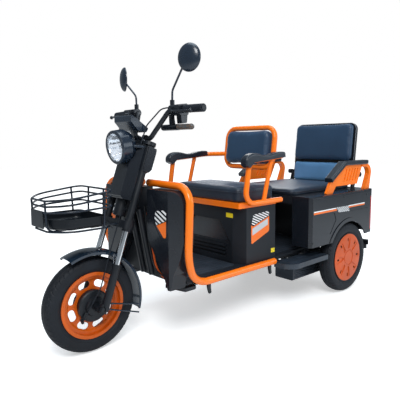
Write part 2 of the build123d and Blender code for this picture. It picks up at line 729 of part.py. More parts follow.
def frame_crossmembers():
    """Spine under the floor's front, bars between the rails, and the bar under the step boards."""
    inner = RAIL_Y - RAIL_W / 2 - GAP
    bars = [block(RAIL_FRONT + GAP, BULKHEAD_X - GAP, -DOWN_Y - 12, DOWN_Y + 12, 262, RAIL_TOP - GAP)]
    for x in (RAIL_FRONT - 30, -820, -1220, RAIL_REAR):
        bars.append(block(x, x + 30, -inner, inner, RAIL_BOTTOM, RAIL_TOP))
    bars.append(block(-1040, -1000, -350, 350, RAIL_BOTTOM - 16, RAIL_BOTTOM - GAP))
    return bars


def frame_rear_mount():
    """Posts on the rails and the beam that carries the deck and the shocks."""
    posts = [block(*MOUNT_X, y - RAIL_W / 2, y + RAIL_W / 2, RAIL_TOP + GAP, 500 - GAP) for y in (RAIL_Y, -RAIL_Y)]
    return [block(*MOUNT_X, -TUB_INNER + GAP, TUB_INNER - GAP, 500, 530), *posts]


put("hoops", *both(hoop()))
put("frame_head", frame_head())
put("frame_rails", frame_rail(1), frame_rail(-1))
put("frame_crossmembers", *frame_crossmembers(), *hanger(), *[hook(x, side) for x in HOOK_X for side in SIDES])
put("frame_rear_mount", *frame_rear_mount())


# ------------------------------------------------------------------ floor, step boards, front shields
MAT_T = 2.5


def floor_pan():
    return slab_xy([(BULKHEAD_X - GAP, FLOOR_HALF), (TUB_FRONT + 2, FLOOR_HALF), (TUB_FRONT + 2, TUB_INNER - 2),
                    (FOOTWELL_END, TUB_INNER - 2), (FOOTWELL_END, -TUB_INNER + 2), (TUB_FRONT + 2, -TUB_INNER + 2),
                    (TUB_FRONT + 2, -FLOOR_HALF), (BULKHEAD_X - GAP, -FLOOR_HALF)], RAIL_TOP, FLOOR_Z)


def floor_mats():
    """One mat for the driver's feet and one for the passengers'."""
    return [
        slab_xy([(x0, -half), (x1, -half), (x1, half), (x0, half)], FLOOR_Z + GAP, FLOOR_Z + GAP + MAT_T, 14)
        for x0, x1, half in ((BOX_FRONT + 12, BULKHEAD_X - 12, 225), (FOOTWELL_END + 12, BOX_REAR - 12, 225))
    ]


def step_board():
    outline = face_of([(-905, 266), (-905, 377), (-1236, 377), (-1236, 266)])
    outline = fillet(outline.vertices().sort_by(Axis.X)[-2:].sort_by(Axis.Y)[-1:], 70)
    return extrude(Plane.XY.offset(RAIL_BOTTOM + 2 * GAP) * outline, 26)


SHIELD_X = -237
RECESS = 2
SHIELD_OUT = HOOP_Y - HOOP_D / 2 - 2
SHIELD_TOP = HOOP_TOP_Z - 3 - HOOP_D / 2 - GAP
SHIELD_EDGE = [(236, 262), (254, 262), (266, 330), (294, 400), (SHIELD_OUT, 470), (SHIELD_OUT, SHIELD_TOP)]


def lobe(inset, back):
    """One side of the front leg shield, as a solid of its outer form."""
    plan = make_face(Polyline(
        (back, 70), (-290, 70), (SHIELD_X, 98), (SHIELD_X, 248), (-270, 310), (back, 310), close=True
    ))
    front = make_face(Polyline(
        (104, SHIELD_TOP), (72, 604), (76, 500), (168, 372), (216, 306), *SHIELD_EDGE, close=True
    ))
    corner = front.vertices().sort_by(Axis.X)[-2:].sort_by(Axis.Y)[-1:]
    front = fillet(corner, HOOP_BEND - HOOP_D / 2 - 2)
    if inset:
        plan = offset(plan, -inset)
        front = offset(front, -inset)
    body = extrude(Plane.XY.offset(200) * plan, 600)
    return body & extrude(Plane.YZ.offset(back - 50) * front, 200)


def leg_shield():
    """Moulded shell, open behind, with a shallow recess in its flat front."""
    recess = slab_yz([(144, 604), (243, 604), (243, 480), (200, 467), (137, 548)], SHIELD_X - RECESS, 0, 12)
    return lobe(0, BULKHEAD_X + SHEET + GAP) - lobe(SHEET, BULKHEAD_X - 20) - recess


def shield_foot():
    """Foot under each shield, inside the hoop's lower run."""
    low = slab_xy([(-290, 150), (-318, 256), (-372, 256), (-386, 246), (-386, 150)], 240, 256)
    return low + block(-372, BULKHEAD_X - GAP, 150, 240, 250, RAIL_TOP - GAP)


def front_bulkhead():
    """Panel behind both shields and across the neck."""
    half = [(0, 600), (62, 600), (104, SHIELD_TOP), *reversed(SHIELD_EDGE[2:]), (256, RAIL_TOP + GAP),
            (146, RAIL_TOP + GAP), (146, 262)]
    outline = half[1:] + [(-y, z) for y, z in reversed(half[1:])]
    face = make_face(Polyline(*outline, close=True))
    corners = [v for v in face.vertices() if v.Y > SHIELD_TOP - 1 and abs(v.X) > 200]
    face = fillet(corners, HOOP_BEND - HOOP_D / 2 - 2)
    return extrude(Plane.YZ.offset(BULKHEAD_X) * face, SHEET)


def cables():
    """Power cable and brake cable that drop beside the left down tube into the leg shield."""
    drops = []
    for x, y, size in ((-272, 0, 9), (-264, -9.6, 6)):
        run = [(x, 46 + y, 600), (x, 80 + y, 430), (x, 112 + y, 306 - y), (x, 212, 288 - y)]
        drops.append(tube(run, [260, 90], size))
    return drops


put("cables", *cables())
put("floor_pan", floor_pan())
put("floor_mats", *floor_mats())
put("step_boards", *both(step_board()))
put("leg_shields", *both(leg_shield()), *both(shield_foot()))
put("front_bulkhead", front_bulkhead())


# ------------------------------------------------------------------ driver's seat
BACK_HOOP_D = 28
BACK_HOOP_HALF = 176
BACK_LOW = 744
BACK_HIGH = 961
BACK_X = -993
BACK_LEAN = 7.4


def box_plan(inset):
    return [
        (BOX_FRONT - inset, -196 + inset * 0.4), (BOX_FRONT - inset, 196 - inset * 0.4),
        (BOX_FRONT - 30 - inset * 0.6, BOX_HALF - inset), (BOX_REAR + inset, BOX_HALF - inset),
        (BOX_REAR + inset, -BOX_HALF + inset), (BOX_FRONT - 30 - inset * 0.6, -BOX_HALF + inset),
    ]


def seat_box():
    """Moulded box, open above and below, with a ribbed recess in its front."""
    floor = FLOOR_Z + GAP
    pocket = face_of([(-150, 312), (150, 312), (186, 385), (106, 498), (-106, 498), (-186, 385)], 12)
    sunk = extrude(Plane.YZ.offset(BOX_FRONT - 14) * pocket, 30)
    around = extrude(Plane.YZ.offset(BOX_FRONT - 14 - SHEET) * offset(pocket, SHEET), 40)
    whole = slab_xy(box_plan(0), floor, BOX_TOP) - sunk
    whole -= slab_xy(box_plan(SHEET), floor - 10, BOX_TOP + 10) - around
    for z in (324, 343, 362):
        whole += block(BOX_FRONT - 15, BOX_FRONT - 6, -138, 138, z, z + 8)
    return whole


def seat_frame():
    half = BOX_HALF
    outer = slab_xy([(BOX_FRONT + 20, half), (BOX_REAR - 10, half), (BOX_REAR - 10, -half), (BOX_FRONT + 20, -half)],
                    BOX_TOP + GAP, BOX_TOP + GAP + SEAT_FRAME_H, 8)
    half = BOX_HALF - SEAT_FRAME_EDGE
    inner = slab_xy([(BOX_FRONT - 2, half), (BOX_REAR + 12, half), (BOX_REAR + 12, -half), (BOX_FRONT - 2, -half)],
                    BOX_TOP - 5, BOX_TOP + 60)
    return outer - inner


BACK_PLANE = Plane((BACK_X, 0, BACK_LOW), x_dir=(0, 1, 0), z_dir=Vector(cos(radians(BACK_LEAN)), 0, sin(radians(BACK_LEAN))))


def arm_path():
    return [
        (BACK_X - 9, BACK_HOOP_HALF + 6, 815), (-940, ARM_Y, 812), (-688, ARM_Y, 793),
        (-655, ARM_Y, 590), (-925, ARM_Y, 590),
    ]


def armrest():
    whole = tube(arm_path(), [50, 34, 56], ARM_D)
    whole += rod((-848, ARM_Y, 803), (-790, ARM_Y, 592), ARM_D - 4)
    for x in (-735, -890):
        whole += block(x, x + 24, 262 + GAP, ARM_Y - 4, 578, 590)
    post = Pos(BACK_HOOP_HALF, 0, 0) * Rot(90, 0, 0) * Cylinder(BACK_HOOP_D / 2 + GAP, 400)
    return whole - BACK_PLANE.location * post


def arm_pad():
    """Moulded pad over the armrest tube, thick and drooping at its front."""
    top = Spline((-646, 776), (-650, 806), (-700, 829), (-790, 818), (-880, 832), (-930, 832))
    under = Polyline((-930, 832), (-934, 806), (-700, 786), (-672, 762), (-646, 776))
    pad = extrude(Plane.XZ.offset(-ARM_Y - 21) * make_face(top + under), 42)
    pad = fillet(pad.edges().filter_by(GeomType.BSPLINE), 9)
    return pad - tube(arm_path(), [50, 34, 56], ARM_D + 2 * GAP) \
        - rod((-848, ARM_Y, 803), (-790, ARM_Y, 592), ARM_D - 4 + 2 * GAP)



def back_hoop():
    height = BACK_HIGH - BACK_LOW
    half = BACK_HOOP_HALF
    points = [(-half, 0, 0), (half, 0, 0), (half, height, 0), (-half, height, 0)]
    path = FilletPolyline(*points, radius=58, close=True)
    loop = sweep(Plane(path @ 0, z_dir=path % 0) * Circle(BACK_HOOP_D / 2), path=path)
    return BACK_PLANE.location * loop


def back_pad():
    height = BACK_HIGH - BACK_LOW
    inner = BACK_HOOP_HALF - BACK_HOOP_D / 2 - GAP
    pad = extrude(RectangleRounded(2 * inner, height - BACK_HOOP_D - 2 * GAP, 43), 44)
    board = Pos(0, 0, -10) * extrude(RectangleRounded(2 * inner, height - BACK_HOOP_D - 2 * GAP, 43), 10)
    return BACK_PLANE.location * Pos(0, height / 2, -6) * (pad + board)


def front_cushion():
    slab = slab_xy([(BOX_FRONT + 12, SEAT_CUSHION_HALF), (BOX_REAR - 20, SEAT_CUSHION_HALF),
                    (BOX_REAR - 20, -SEAT_CUSHION_HALF), (BOX_FRONT + 12, -SEAT_CUSHION_HALF)],
                   CUSHION_Z, CUSHION_Z + CUSHION_T, 36)
    return fillet(slab.edges().group_by(Axis.Z)[-1], 18)


put("seat_box", seat_box())
put("battery_block", block(-890, -700, -150, 150, FLOOR_Z + GAP, 470))
put("seat_frame", seat_frame())
put("armrests", *both(armrest()))
put("back_hoop", back_hoop())
put("back_pad", back_pad())
put("front_cushion", front_cushion())

# ------------------------------------------------------------------ rear tub
LAMP_LOW = 340
LAMP_HIGH = 546
LAMP_SPAN = 44
CORNER_R = 30


def side_solid(inset):
    """Outer form of one side: rounded shoulder along its top, bevelled front corner."""
    low = TUB_BOTTOM - (20 if inset else 0)
    outer, inner, high = BODY_HALF - inset, TUB_INNER + inset, TUB_TOP - inset
    section = face_of([(inner, low), (outer, low), (outer, high), (inner, high)])
    section = fillet(section.vertices().sort_by(Axis.X)[-2:].sort_by(Axis.Y)[-1:], 14)
    front = TUB_FRONT - inset
    back = PANEL_X + GAP
    plan = [(back, inner), (front, inner), (front, outer - 16), (front - 16, outer), (back, outer)]
    length = extrude(Plane.YZ.offset(PANEL_X - 20) * section, front - PANEL_X + 20)
    return length & slab_xy(plan, low - 10, high + 10)


def rear_side():
    """Side of the tub: skin, top, front pillar and inner wall, open below over the wheel."""
    shell = side_solid(0) - side_solid(SHEET)
    axle = Pos(REAR_AXLE_X, BODY_HALF, TYRE_R) * Rot(90, 0, 0)
    arch = axle * Cylinder(ARCH_R, 2 * (BODY_HALF - TUB_INNER) - 2 * SHEET - 12)
    band = axle * (Cylinder(ARCH_R + ARCH_BAND, 2 * FLARE) - Cylinder(ARCH_R, 2 * FLARE + 2))
    band &= block(PANEL_X + 2, TUB_FRONT, BODY_HALF - 2, BODY_HALF + FLARE, TUB_BOTTOM, TUB_TOP)
    panel = [(-1110, 484), (-1300, 487), (-1318, 444), (-1262, 372), (-1180, 386), (-1110, 420)]
    panel = slab_xz(panel, BODY_HALF - RECESS, BODY_HALF + 10, 10)
    crease = slab_xz([(-1360, 484), (-1665, 480), (-1665, 476), (-1360, 480)], BODY_HALF - 1.5, BODY_HALF + 10)
    return shell - arch - panel - crease + band


def corner_solid(inset):
    outline = [(PANEL_X - (0 if inset == 0 else -20), BODY_HALF - inset), (TUB_REAR + inset, BODY_HALF - inset),
               (TUB_REAR + inset, -BODY_HALF + inset), (PANEL_X - (0 if inset == 0 else -20), -BODY_HALF + inset)]
    face = face_of(outline)
    face = fillet(face.vertices().group_by(Axis.X)[0], CORNER_R - inset)
    return extrude(Plane.XY.offset(TUB_BOTTOM - (0 if inset == 0 else 20)) * face,
                   TUB_TOP - TUB_BOTTOM - inset + (0 if inset == 0 else 20))


def lamp_room(grow):
    return block(TUB_REAR - 20, PANEL_X - 4 + grow, BODY_HALF - LAMP_SPAN - grow, BODY_HALF + 20, LAMP_LOW - grow, LAMP_HIGH + grow)


def rear_panel():
    shell = corner_solid(0) - corner_solid(SHEET)
    return shell - lamp_room(GAP) - mirrored(lamp_room(GAP))


def tail_lamp():
    return (corner_solid(0) - corner_solid(9)) & lamp_room(0)


def rear_deck():
    top = block(PANEL_X + GAP, TUB_FRONT - 4, -TUB_INNER + GAP, TUB_INNER - GAP, TUB_TOP - DECK_T, TUB_TOP)
    lip = block(TUB_FRONT - 16, TUB_FRONT - 4, -TUB_INNER + GAP, TUB_INNER - GAP, TUB_TOP - 44, TUB_TOP)
    wall = block(FOOTWELL_END - SHEET, FOOTWELL_END, -TUB_INNER + GAP, TUB_INNER - GAP, FLOOR_Z + 2 * GAP, TUB_TOP - 2)
    return top + lip + wall


def rear_cushion():
    slab = slab_xy([(TUB_FRONT - 10, 246), (-1684, 246), (-1684, -246), (TUB_FRONT - 10, -246)],
                   TUB_TOP + GAP, TUB_TOP + GAP + REAR_CUSHION_T, 30)
    return fillet(slab.edges().group_by(Axis.Z)[-1], 16)


put("rear_sides", *both(rear_side()))
put("rear_panel", rear_panel())
put("tail_lamps", *both(tail_lamp()))
put("rear_deck", rear_deck())
put("rear_cushion", rear_cushion())

# ------------------------------------------------------------------ rear backrest
PIVOT_X = -1746
PIVOT_Z = 672
PIVOT_D = 12
BACKREST_BACK_LOW = -REAR_REACH + 45.5
BACKREST_PLANE = Plane(
    (BACKREST_BACK_LOW, 0, BACKREST_LOW), x_dir=(0, 1, 0),
    z_dir=Vector(cos(radians(BACKREST_TILT)), 0, sin(radians(BACKREST_TILT))),
)
SHELL_T = 22
PAD_SPLIT = 144


def backrest_shell():
    """Moulded back with a lip round the pad."""
    height = BACKREST_TOP - BACKREST_LOW
    board = extrude(RectangleRounded(2 * BACKREST_HALF, height, 42), SHELL_T)
    board = Pos(0, height / 2, 0) * board
    whole = BACKREST_PLANE.location * board
    for side in SIDES:
        start = BACKREST_HALF - 6
        whole += rod((PIVOT_X, side * start, PIVOT_Z), (PIVOT_X, side * (start + 50), PIVOT_Z), PIVOT_D)
        whole += rod((PIVOT_X, side * (start + 30), PIVOT_Z), (PIVOT_X, side * (start + 56), PIVOT_Z), 32)
    return whole


def backrest_pads():
    height = BACKREST_TOP - BACKREST_LOW
    upper_h = height - PAD_SPLIT - 8
    thick = BACKREST_T - SHELL_T - GAP
    upper = Pos(0, PAD_SPLIT + 4 + upper_h / 2, SHELL_T + GAP) * extrude(RectangleRounded(2 * BACKREST_HALF - 12, upper_h, 36), thick)
    lower = Pos(0, PAD_SPLIT / 2, SHELL_T + GAP) * extrude(RectangleRounded(2 * BACKREST_HALF - 20, PAD_SPLIT - 8, 20), thick - 8)
    return [BACKREST_PLANE.location * upper, BACKREST_PLANE.location * lower]


def pivot_bracket():
    """Upright plate on the deck that carries the backrest's pivot."""
    y0 = BACKREST_HALF + 5
    outline = [
        (PANEL_X - 4, TUB_TOP + GAP), (TUB_REAR + 3, TUB_TOP + GAP), (PIVOT_X - 16, PIVOT_Z - 8),
        (PIVOT_X - 10, PIVOT_Z + 14), (PIVOT_X + 10, PIVOT_Z + 14), (PIVOT_X + 18, PIVOT_Z - 4),
    ]
    plate = slab_xz(outline, y0, y0 + 12)
    bore = rod((PIVOT_X, y0 - 5, PIVOT_Z), (PIVOT_X, y0 + 20, PIVOT_Z), PIVOT_D + 1)
    return plate - bore


put("backrest_shell", backrest_shell())
put("backrest_pads", *backrest_pads())
put("backrest_brackets", *both(pivot_bracket()))


# ------------------------------------------------------------------ rear armrests
def rear_armrest():
    """Slotted pressing with a strap that curls down behind it."""
    y0, y1 = REAR_ARM_Y - 8, REAR_ARM_Y + 8
    plate = slab_xz([(-1262, TUB_TOP + GAP), (-1326, TUB_TOP + GAP), (-1356, 628), (-1590, 628), (-1650, 742),
                     (-1436, 742), (-1318, 662), (-1306, 660)], y0, y1, 4)
    for n in range(5):
        x = -1436 - n * 31
        slot = slab_xz([(x, 650), (x - 10, 650), (x - 42, 722), (x - 32, 722)], y0 - 5, y1 + 5)
        plate -= slot
    strap = make_face(
        Line((-1640, 742), (-1690, 742)) + ThreePointArc((-1690, 742), (-1738, 722), (-1749, 690))
        + Polyline((-1749, 690), (-1730, TUB_TOP + GAP), (-1680, TUB_TOP + GAP), (-1722, 684))
        + ThreePointArc((-1722, 684), (-1712, 712), (-1684, 728)) + Polyline((-1684, 728), (-1640, 728), (-1640, 742))
    )
    return plate + extrude(Plane.XZ.offset(-y1 - 6) * strap, y1 - y0 + 12)


def rear_arm_pad():
    pad = slab_xz([(-1296, 655), (-1312, 668), (-1434, 742 + GAP), (-1690, 742 + GAP), (-1692, 768), (-1428, 768),
                   (-1290, 678)], REAR_ARM_Y - 25, REAR_ARM_Y + 25)
    upper = [e for e in pad.edges() if e.center().Z > 715 and abs(e.center().Y - REAR_ARM_Y) > 20]
    return fillet([e for e in upper if e.center().X > -1691], 8)


put("rear_armrests", *both(rear_armrest()))
put("arm_pads", *both(arm_pad()), *both(rear_arm_pad()))


# ------------------------------------------------------------------ rear axle, shocks, controller, bumper
def rear_axle():
    middle = REAR_TRACK / 2
    tubes = Rot(90, 0, 0) * Cylinder(27, 2 * (middle - 62))
    stubs = Rot(90, 0, 0) * Cylinder(REAR_STUB_D / 2, 2 * (middle + 17))
    motor = Rot(90, 0, 0) * Cylinder(84, 170)
    whole = tubes + stubs + motor
    for side in SIDES:
        whole += Pos(0, side * (middle - 56), 0) * Rot(90, 0, 0) * Cylinder(70, 16)
        whole += rod((20, side * 215, 8), (190, side * 215, 46), 22)
        whole += block(-20, 20, side * 215 - 14, side * 215 + 14, 0, 36)
    return Pos(REAR_AXLE_X, 0, TYRE_R) * whole


def shock(side):
    y = side * 215
    base = 36 + TYRE_R + GAP
    body = rod((REAR_AXLE_X, y, base), (REAR_AXLE_X, y, 500 - GAP), 24)
    coil = rod((REAR_AXLE_X, y, base + 40), (REAR_AXLE_X, y, 470), 52)
    return body + coil


def controller():
    """Finned case hung under the left rail, with its hanger straps' bosses."""
    case = fillet(block(*CASE_X, *CASE_Y, CASE_LOW, CASE_TOP).edges().filter_by(Axis.X), 8)
    for n in range(5):
        z = CASE_LOW + 14 + n * 12
        case -= block(CASE_X[0] + 12, CASE_X[1] - 12, CASE_Y[1] - 3, CASE_Y[1] + 1, z, z + 5)
    return case


def rear_bumper():
    front, back = TUB_REAR + 24, TUB_REAR - 4
    bar = slab_xy([(front, 362), (back, 348), (back, -348), (front, -362)], 235, 262)
    for side in SIDES:
        bar += Pos(TUB_REAR + 12, side * 330, 222) * Cylinder(14, 30)
    return bar


put("rear_axle", rear_axle())
put("rear_shocks", *[shock(side) for side in SIDES])
put("controller", controller())
put("rear_bumper", rear_bumper())
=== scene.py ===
import math

import bmesh
import bpy
from mathutils import Matrix, Vector


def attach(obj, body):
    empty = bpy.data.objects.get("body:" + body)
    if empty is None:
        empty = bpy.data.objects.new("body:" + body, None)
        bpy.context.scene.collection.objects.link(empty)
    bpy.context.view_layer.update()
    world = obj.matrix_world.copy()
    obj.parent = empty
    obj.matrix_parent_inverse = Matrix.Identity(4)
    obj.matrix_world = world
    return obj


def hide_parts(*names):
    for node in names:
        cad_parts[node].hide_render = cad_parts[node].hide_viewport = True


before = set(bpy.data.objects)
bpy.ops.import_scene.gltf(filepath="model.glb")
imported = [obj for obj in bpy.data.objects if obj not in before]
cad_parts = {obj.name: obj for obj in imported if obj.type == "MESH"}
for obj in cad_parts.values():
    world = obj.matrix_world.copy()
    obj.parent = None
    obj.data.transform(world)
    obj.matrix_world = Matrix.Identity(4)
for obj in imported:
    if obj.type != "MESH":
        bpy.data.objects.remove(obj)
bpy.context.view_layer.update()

MM = 0.001
MID_X = -795                # the part's origin, in stations from the front axle
LEAN = math.radians(20)     # steering axis
AXLE_Z = 204                # wheel centres above the ground
REAR_AXLE_X = -1460
REAR_WHEEL_Y = 332
AHEAD = Vector((1, 0, 0))
LEFT = Vector((0, 1, 0))
UP = Vector((0, 0, 1))


# ------------------------------------------------------------------ places
def at(x, y, z):
    """Point in metres from stations in mm: ahead of the front axle, left, above the ground."""
    return Vector(((x - MID_X) * MM, y * MM, z * MM))


def on_steer(f, y, s):
    """Point ahead of, beside and along the steering axis, in mm."""
    return at(
        -23 + f * math.cos(LEAN) - s * math.sin(LEAN),
        y,
        AXLE_Z + f * math.sin(LEAN) + s * math.cos(LEAN),
    )


# ------------------------------------------------------------------ camera
CAMERA_PLACE = at(836.96, 1672.96, 880.75)
CAMERA_YAW, CAMERA_PITCH, CAMERA_ROLL = (math.radians(a) for a in (-132.543, -6.550, -0.492))
CAMERA_LENS = 39.34         # mm, on a sensor 36 mm wide
CAMERA_SHIFT = (-0.0239, -0.0180)


def make_camera():
    """Camera that sees the part from the front left, as the photograph does."""
    level = math.cos(CAMERA_PITCH)
    ahead = Vector((level * math.cos(CAMERA_YAW), level * math.sin(CAMERA_YAW), math.sin(CAMERA_PITCH)))
    level_right = ahead.cross(UP).normalized()
    level_up = level_right.cross(ahead)
    right = level_right * math.cos(CAMERA_ROLL) + level_up * math.sin(CAMERA_ROLL)
    up = level_up * math.cos(CAMERA_ROLL) - level_right * math.sin(CAMERA_ROLL)
    data = bpy.data.cameras.new("camera")
    data.sensor_width = 36
    data.lens = CAMERA_LENS
    data.shift_x, data.shift_y = CAMERA_SHIFT
    data.clip_start = 0.05
    data.clip_end = 60
    camera = bpy.data.objects.new("camera", data)
    bpy.context.collection.objects.link(camera)
    turn = Matrix((right, up, -ahead)).transposed()
    camera.matrix_world = Matrix.Translation(CAMERA_PLACE) @ turn.to_4x4()
    bpy.context.scene.camera = camera
    bpy.context.scene.view_settings.view_transform = "Standard"


make_camera()


# ------------------------------------------------------------------ materials
class Nodes:
    """Short hand for building one material's nodes."""

    def __init__(self, name):
        self.material = bpy.data.materials.new(name)
        self.material.use_nodes = True
        self.tree = self.material.node_tree
        self.tree.nodes.clear()
        self.out = self.new("ShaderNodeOutputMaterial")
        self.bsdf = self.new("ShaderNodeBsdfPrincipled")
        self.link(self.bsdf.outputs[0], self.out.inputs["Surface"])
        self.place = self.new("ShaderNodeTexCoord").outputs["Object"]

    def new(self, kind, **settings):
        node = self.tree.nodes.new(kind)
        for key, value in settings.items():
            setattr(node, key, value)
        return node

    def link(self, source, target):
        self.tree.links.new(source, target)

    def shader(self, **values):
        for key, value in values.items():
            name = key.replace("_", " ")
            socket = self.bsdf.inputs[name]
            socket.default_value = (*value, 1) if isinstance(value, tuple) else value

    def noise(self, scale, detail=3.0, stretch=None):
        source = self.place
        if stretch:
            mapping = self.new("ShaderNodeMapping")
            mapping.inputs["Scale"].default_value = stretch
            self.link(source, mapping.inputs["Vector"])
            source = mapping.outputs[0]
        node = self.new("ShaderNodeTexNoise")
        node.inputs["Scale"].default_value = scale
        node.inputs["Detail"].default_value = detail
        self.link(source, node.inputs["Vector"])
        return node.outputs["Fac"]

    def voronoi(self, scale):
        node = self.new("ShaderNodeTexVoronoi", feature="F1")
        node.inputs["Scale"].default_value = scale
        self.link(self.place, node.inputs["Vector"])
        return node.outputs["Distance"]

    def set(self, name, source):
        """Feeds an input of the surface shader."""
        self.link(source, self.bsdf.inputs[name])

    def axis(self, index):
        """One coordinate of the point, in metres."""
        split = self.new("ShaderNodeSeparateXYZ")
        self.link(self.place, split.inputs[0])
        return split.outputs[index]

    def maths(self, operation, first, second=None):
        """Arithmetic on one socket, with a number or a second socket where the operation takes one."""
        node = self.new("ShaderNodeMath", operation=operation)
        self.link(first, node.inputs[0])
        if isinstance(second, (int, float)):
            node.inputs[1].default_value = second
        elif second is not None:
            self.link(second, node.inputs[1])
        return node.outputs[0]

    def mix(self, fac, low, high):
        node = self.new("ShaderNodeMix", data_type="RGBA")
        self.link(fac, node.inputs[0])
        self.link(low, node.inputs[6])
        self.link(high, node.inputs[7])
        return node.outputs[2]

    def tint(self, fac, colour, low, high):
        """The colour, from darker to lighter: low and high are (place, factor)."""
        return self.ramp(fac, [(place, shade(colour, factor)) for place, factor in (low, high)])

    def ramp(self, fac, stops):
        node = self.new("ShaderNodeValToRGB")
        while len(node.color_ramp.elements) < len(stops):
            node.color_ramp.elements.new(0.5)
        for element, (place, colour) in zip(node.color_ramp.elements, stops):
            element.position = place
            element.color = (*colour, 1)
        self.link(fac, node.inputs["Fac"])
        return node.outputs["Color"]

    def span(self, fac, low, high):
        node = self.new("ShaderNodeMapRange")
        node.inputs["To Min"].default_value = low
        node.inputs["To Max"].default_value = high
        self.link(fac, node.inputs["Value"])
        return node.outputs["Result"]

    def bump(self, height, strength, depth, after=None):
        node = self.new("ShaderNodeBump")
        node.inputs["Strength"].default_value = strength
        node.inputs["Distance"].default_value = depth
        self.link(height, node.inputs["Height"])
        if after is not None:
            self.link(after, node.inputs["Normal"])
        return node.outputs["Normal"]


def shade(colour, factor):
    return tuple(min(1.0, c * factor) for c in colour)


CLOUD = 9.0                 # scales of the textures, per metre
PEEL = 120.0
PEBBLES = 520


def surface(name, colour, rough, spread=0.06, vary=0.12, grain=0.0, grain_size=900.0, peel=0.0,
            **shader):
    """Painted, moulded or bare surface: cloudy colour and gloss, with a grain and an orange peel."""
    n = Nodes(name)
    cloud = n.noise(CLOUD, 4)
    n.set("Base Color", n.tint(cloud, colour, (0.3, 1 - vary), (0.7, 1 + vary)))
    n.set("Roughness", n.span(cloud, rough - spread, rough + spread))
    normal = None
    if peel:
        normal = n.bump(n.noise(PEEL, 2), peel, 0.0004)
    if grain:
        normal = n.bump(n.noise(grain_size, 2), grain, 0.0003, normal)
    if normal is not None:
        n.set("Normal", normal)
    n.shader(**shader)
    return n.material


def leather(name, colour, rough=0.42, sheen=0.2):
    """Leatherette: pebbled grain, soft bluish sheen."""
    n = Nodes(name)
    n.set("Base Color", n.tint(n.noise(5, 4), colour, (0.25, 0.85), (0.75, 1.2)))
    cells = n.voronoi(PEBBLES)
    n.set("Roughness", n.span(cells, rough - 0.06, rough + 0.12))
    normal = n.bump(cells, 0.22, 0.0005)
    n.set("Normal", n.bump(n.noise(34, 3), 0.12, 0.002, normal))
    n.shader(Sheen_Weight=sheen, Sheen_Roughness=0.4, Sheen_Tint=(0.35, 0.6, 0.95),
             Specular_IOR_Level=0.4)
    return n.material


def rubber(name, colour, rough):
    """Matt rubber with a fine, uneven grain."""
    n = Nodes(name)
    cloud = n.noise(14, 5)
    n.set("Base Color", n.tint(cloud, colour, (0.3, 0.8), (0.7, 1.35)))
    n.set("Roughness", n.span(cloud, rough - 0.08, rough + 0.08))
    n.set("Normal", n.bump(n.noise(420, 4), 0.25, 0.0006))
    n.shader(Specular_IOR_Level=0.28)
    return n.material


def chrome(name):
    """Bright plating, worn in streaks along the tube."""
    n = Nodes(name)
    wear = n.noise(60, 4, stretch=(1, 1, 0.2))
    n.set("Base Color", n.ramp(wear, [(0.3, (0.62, 0.63, 0.65)), (0.7, (0.82, 0.83, 0.85))]))
    n.set("Roughness", n.span(wear, 0.06, 0.18))
    n.shader(Metallic=1.0)
    return n.material


def coloured_lens(name, colour, rough, facet, facet_size, **shader):
    """Coloured lens with moulded facets."""
    n = Nodes(name)
    cells = n.voronoi(facet_size)
    n.set("Base Color", n.tint(cells, colour, (0.1, 0.92), (0.8, 1.06)))
    n.set("Roughness", n.span(n.noise(40), rough, rough + 0.06))
    n.set("Normal", n.bump(cells, facet, 0.002))
    n.shader(**shader)
    return n.material


def ribbed(name, colour, axis, pitch):
    """Moulded mat: raised ribs across it, with an uneven gloss."""
    n = Nodes(name)
    wave = n.maths("PINGPONG", n.axis(axis), pitch / 2)
    height = n.new("ShaderNodeMapRange")
    height.inputs["From Min"].default_value = pitch * 0.16
    height.inputs["From Max"].default_value = pitch * 0.24
    n.link(wave, height.inputs["Value"])
    cloud = n.noise(11, 4)
    n.set("Base Color", n.tint(cloud, colour, (0.3, 0.8), (0.7, 1.4)))
    n.set("Roughness", n.span(cloud, 0.30, 0.44))
    n.set("Normal", n.bump(height.outputs["Result"], 0.9, 0.003))
    return n.material


def inner_cable(name, split_x, orange_top, orange, black):
    """Black cables side by side: the one behind split_x turns orange below its sleeve."""
    n = Nodes(name)
    behind = n.maths("LESS_THAN", n.axis(0), (split_x - MID_X) * MM)
    below = n.maths("LESS_THAN", n.axis(2), orange_top * MM)
    cloud = n.noise(30, 3)
    n.set("Base Color", n.mix(
        n.maths("MULTIPLY", behind, below),
        n.tint(cloud, black, (0.3, 0.8), (0.7, 1.2)),
        n.tint(cloud, orange, (0.3, 0.85), (0.7, 1.1)),
    ))
    n.set("Roughness", n.span(cloud, 0.35, 0.5))
    return n.material


def lamp_glass(name, beside):
    """Clear lens ahead; lenses further than 'beside' from the middle are smoky, with an amber core."""
    n = Nodes(name)
    small = n.maths("GREATER_THAN", n.maths("ABSOLUTE", n.axis(1)), beside * MM)
    cells = n.voronoi(150)
    n.set("Base Color", n.mix(
        small,
        n.ramp(cells, [(0.1, (0.90, 0.93, 0.97)), (0.8, (0.97, 0.98, 1.0))]),
        n.ramp(cells, [(0.25, (0.16, 0.09, 0.05)), (0.6, (0.10, 0.105, 0.11))]),
    ))
    n.set("Transmission Weight", n.span(small, 0.96, 0.15))
    n.set("Roughness", n.span(n.noise(40), 0.02, 0.06))
    n.set("Normal", n.bump(cells, 0.12, 0.002))
    n.shader(IOR=1.30)
    return n.material


ORANGE = (0.96, 0.185, 0.004)
BLACK = (0.0085, 0.0108, 0.0155)

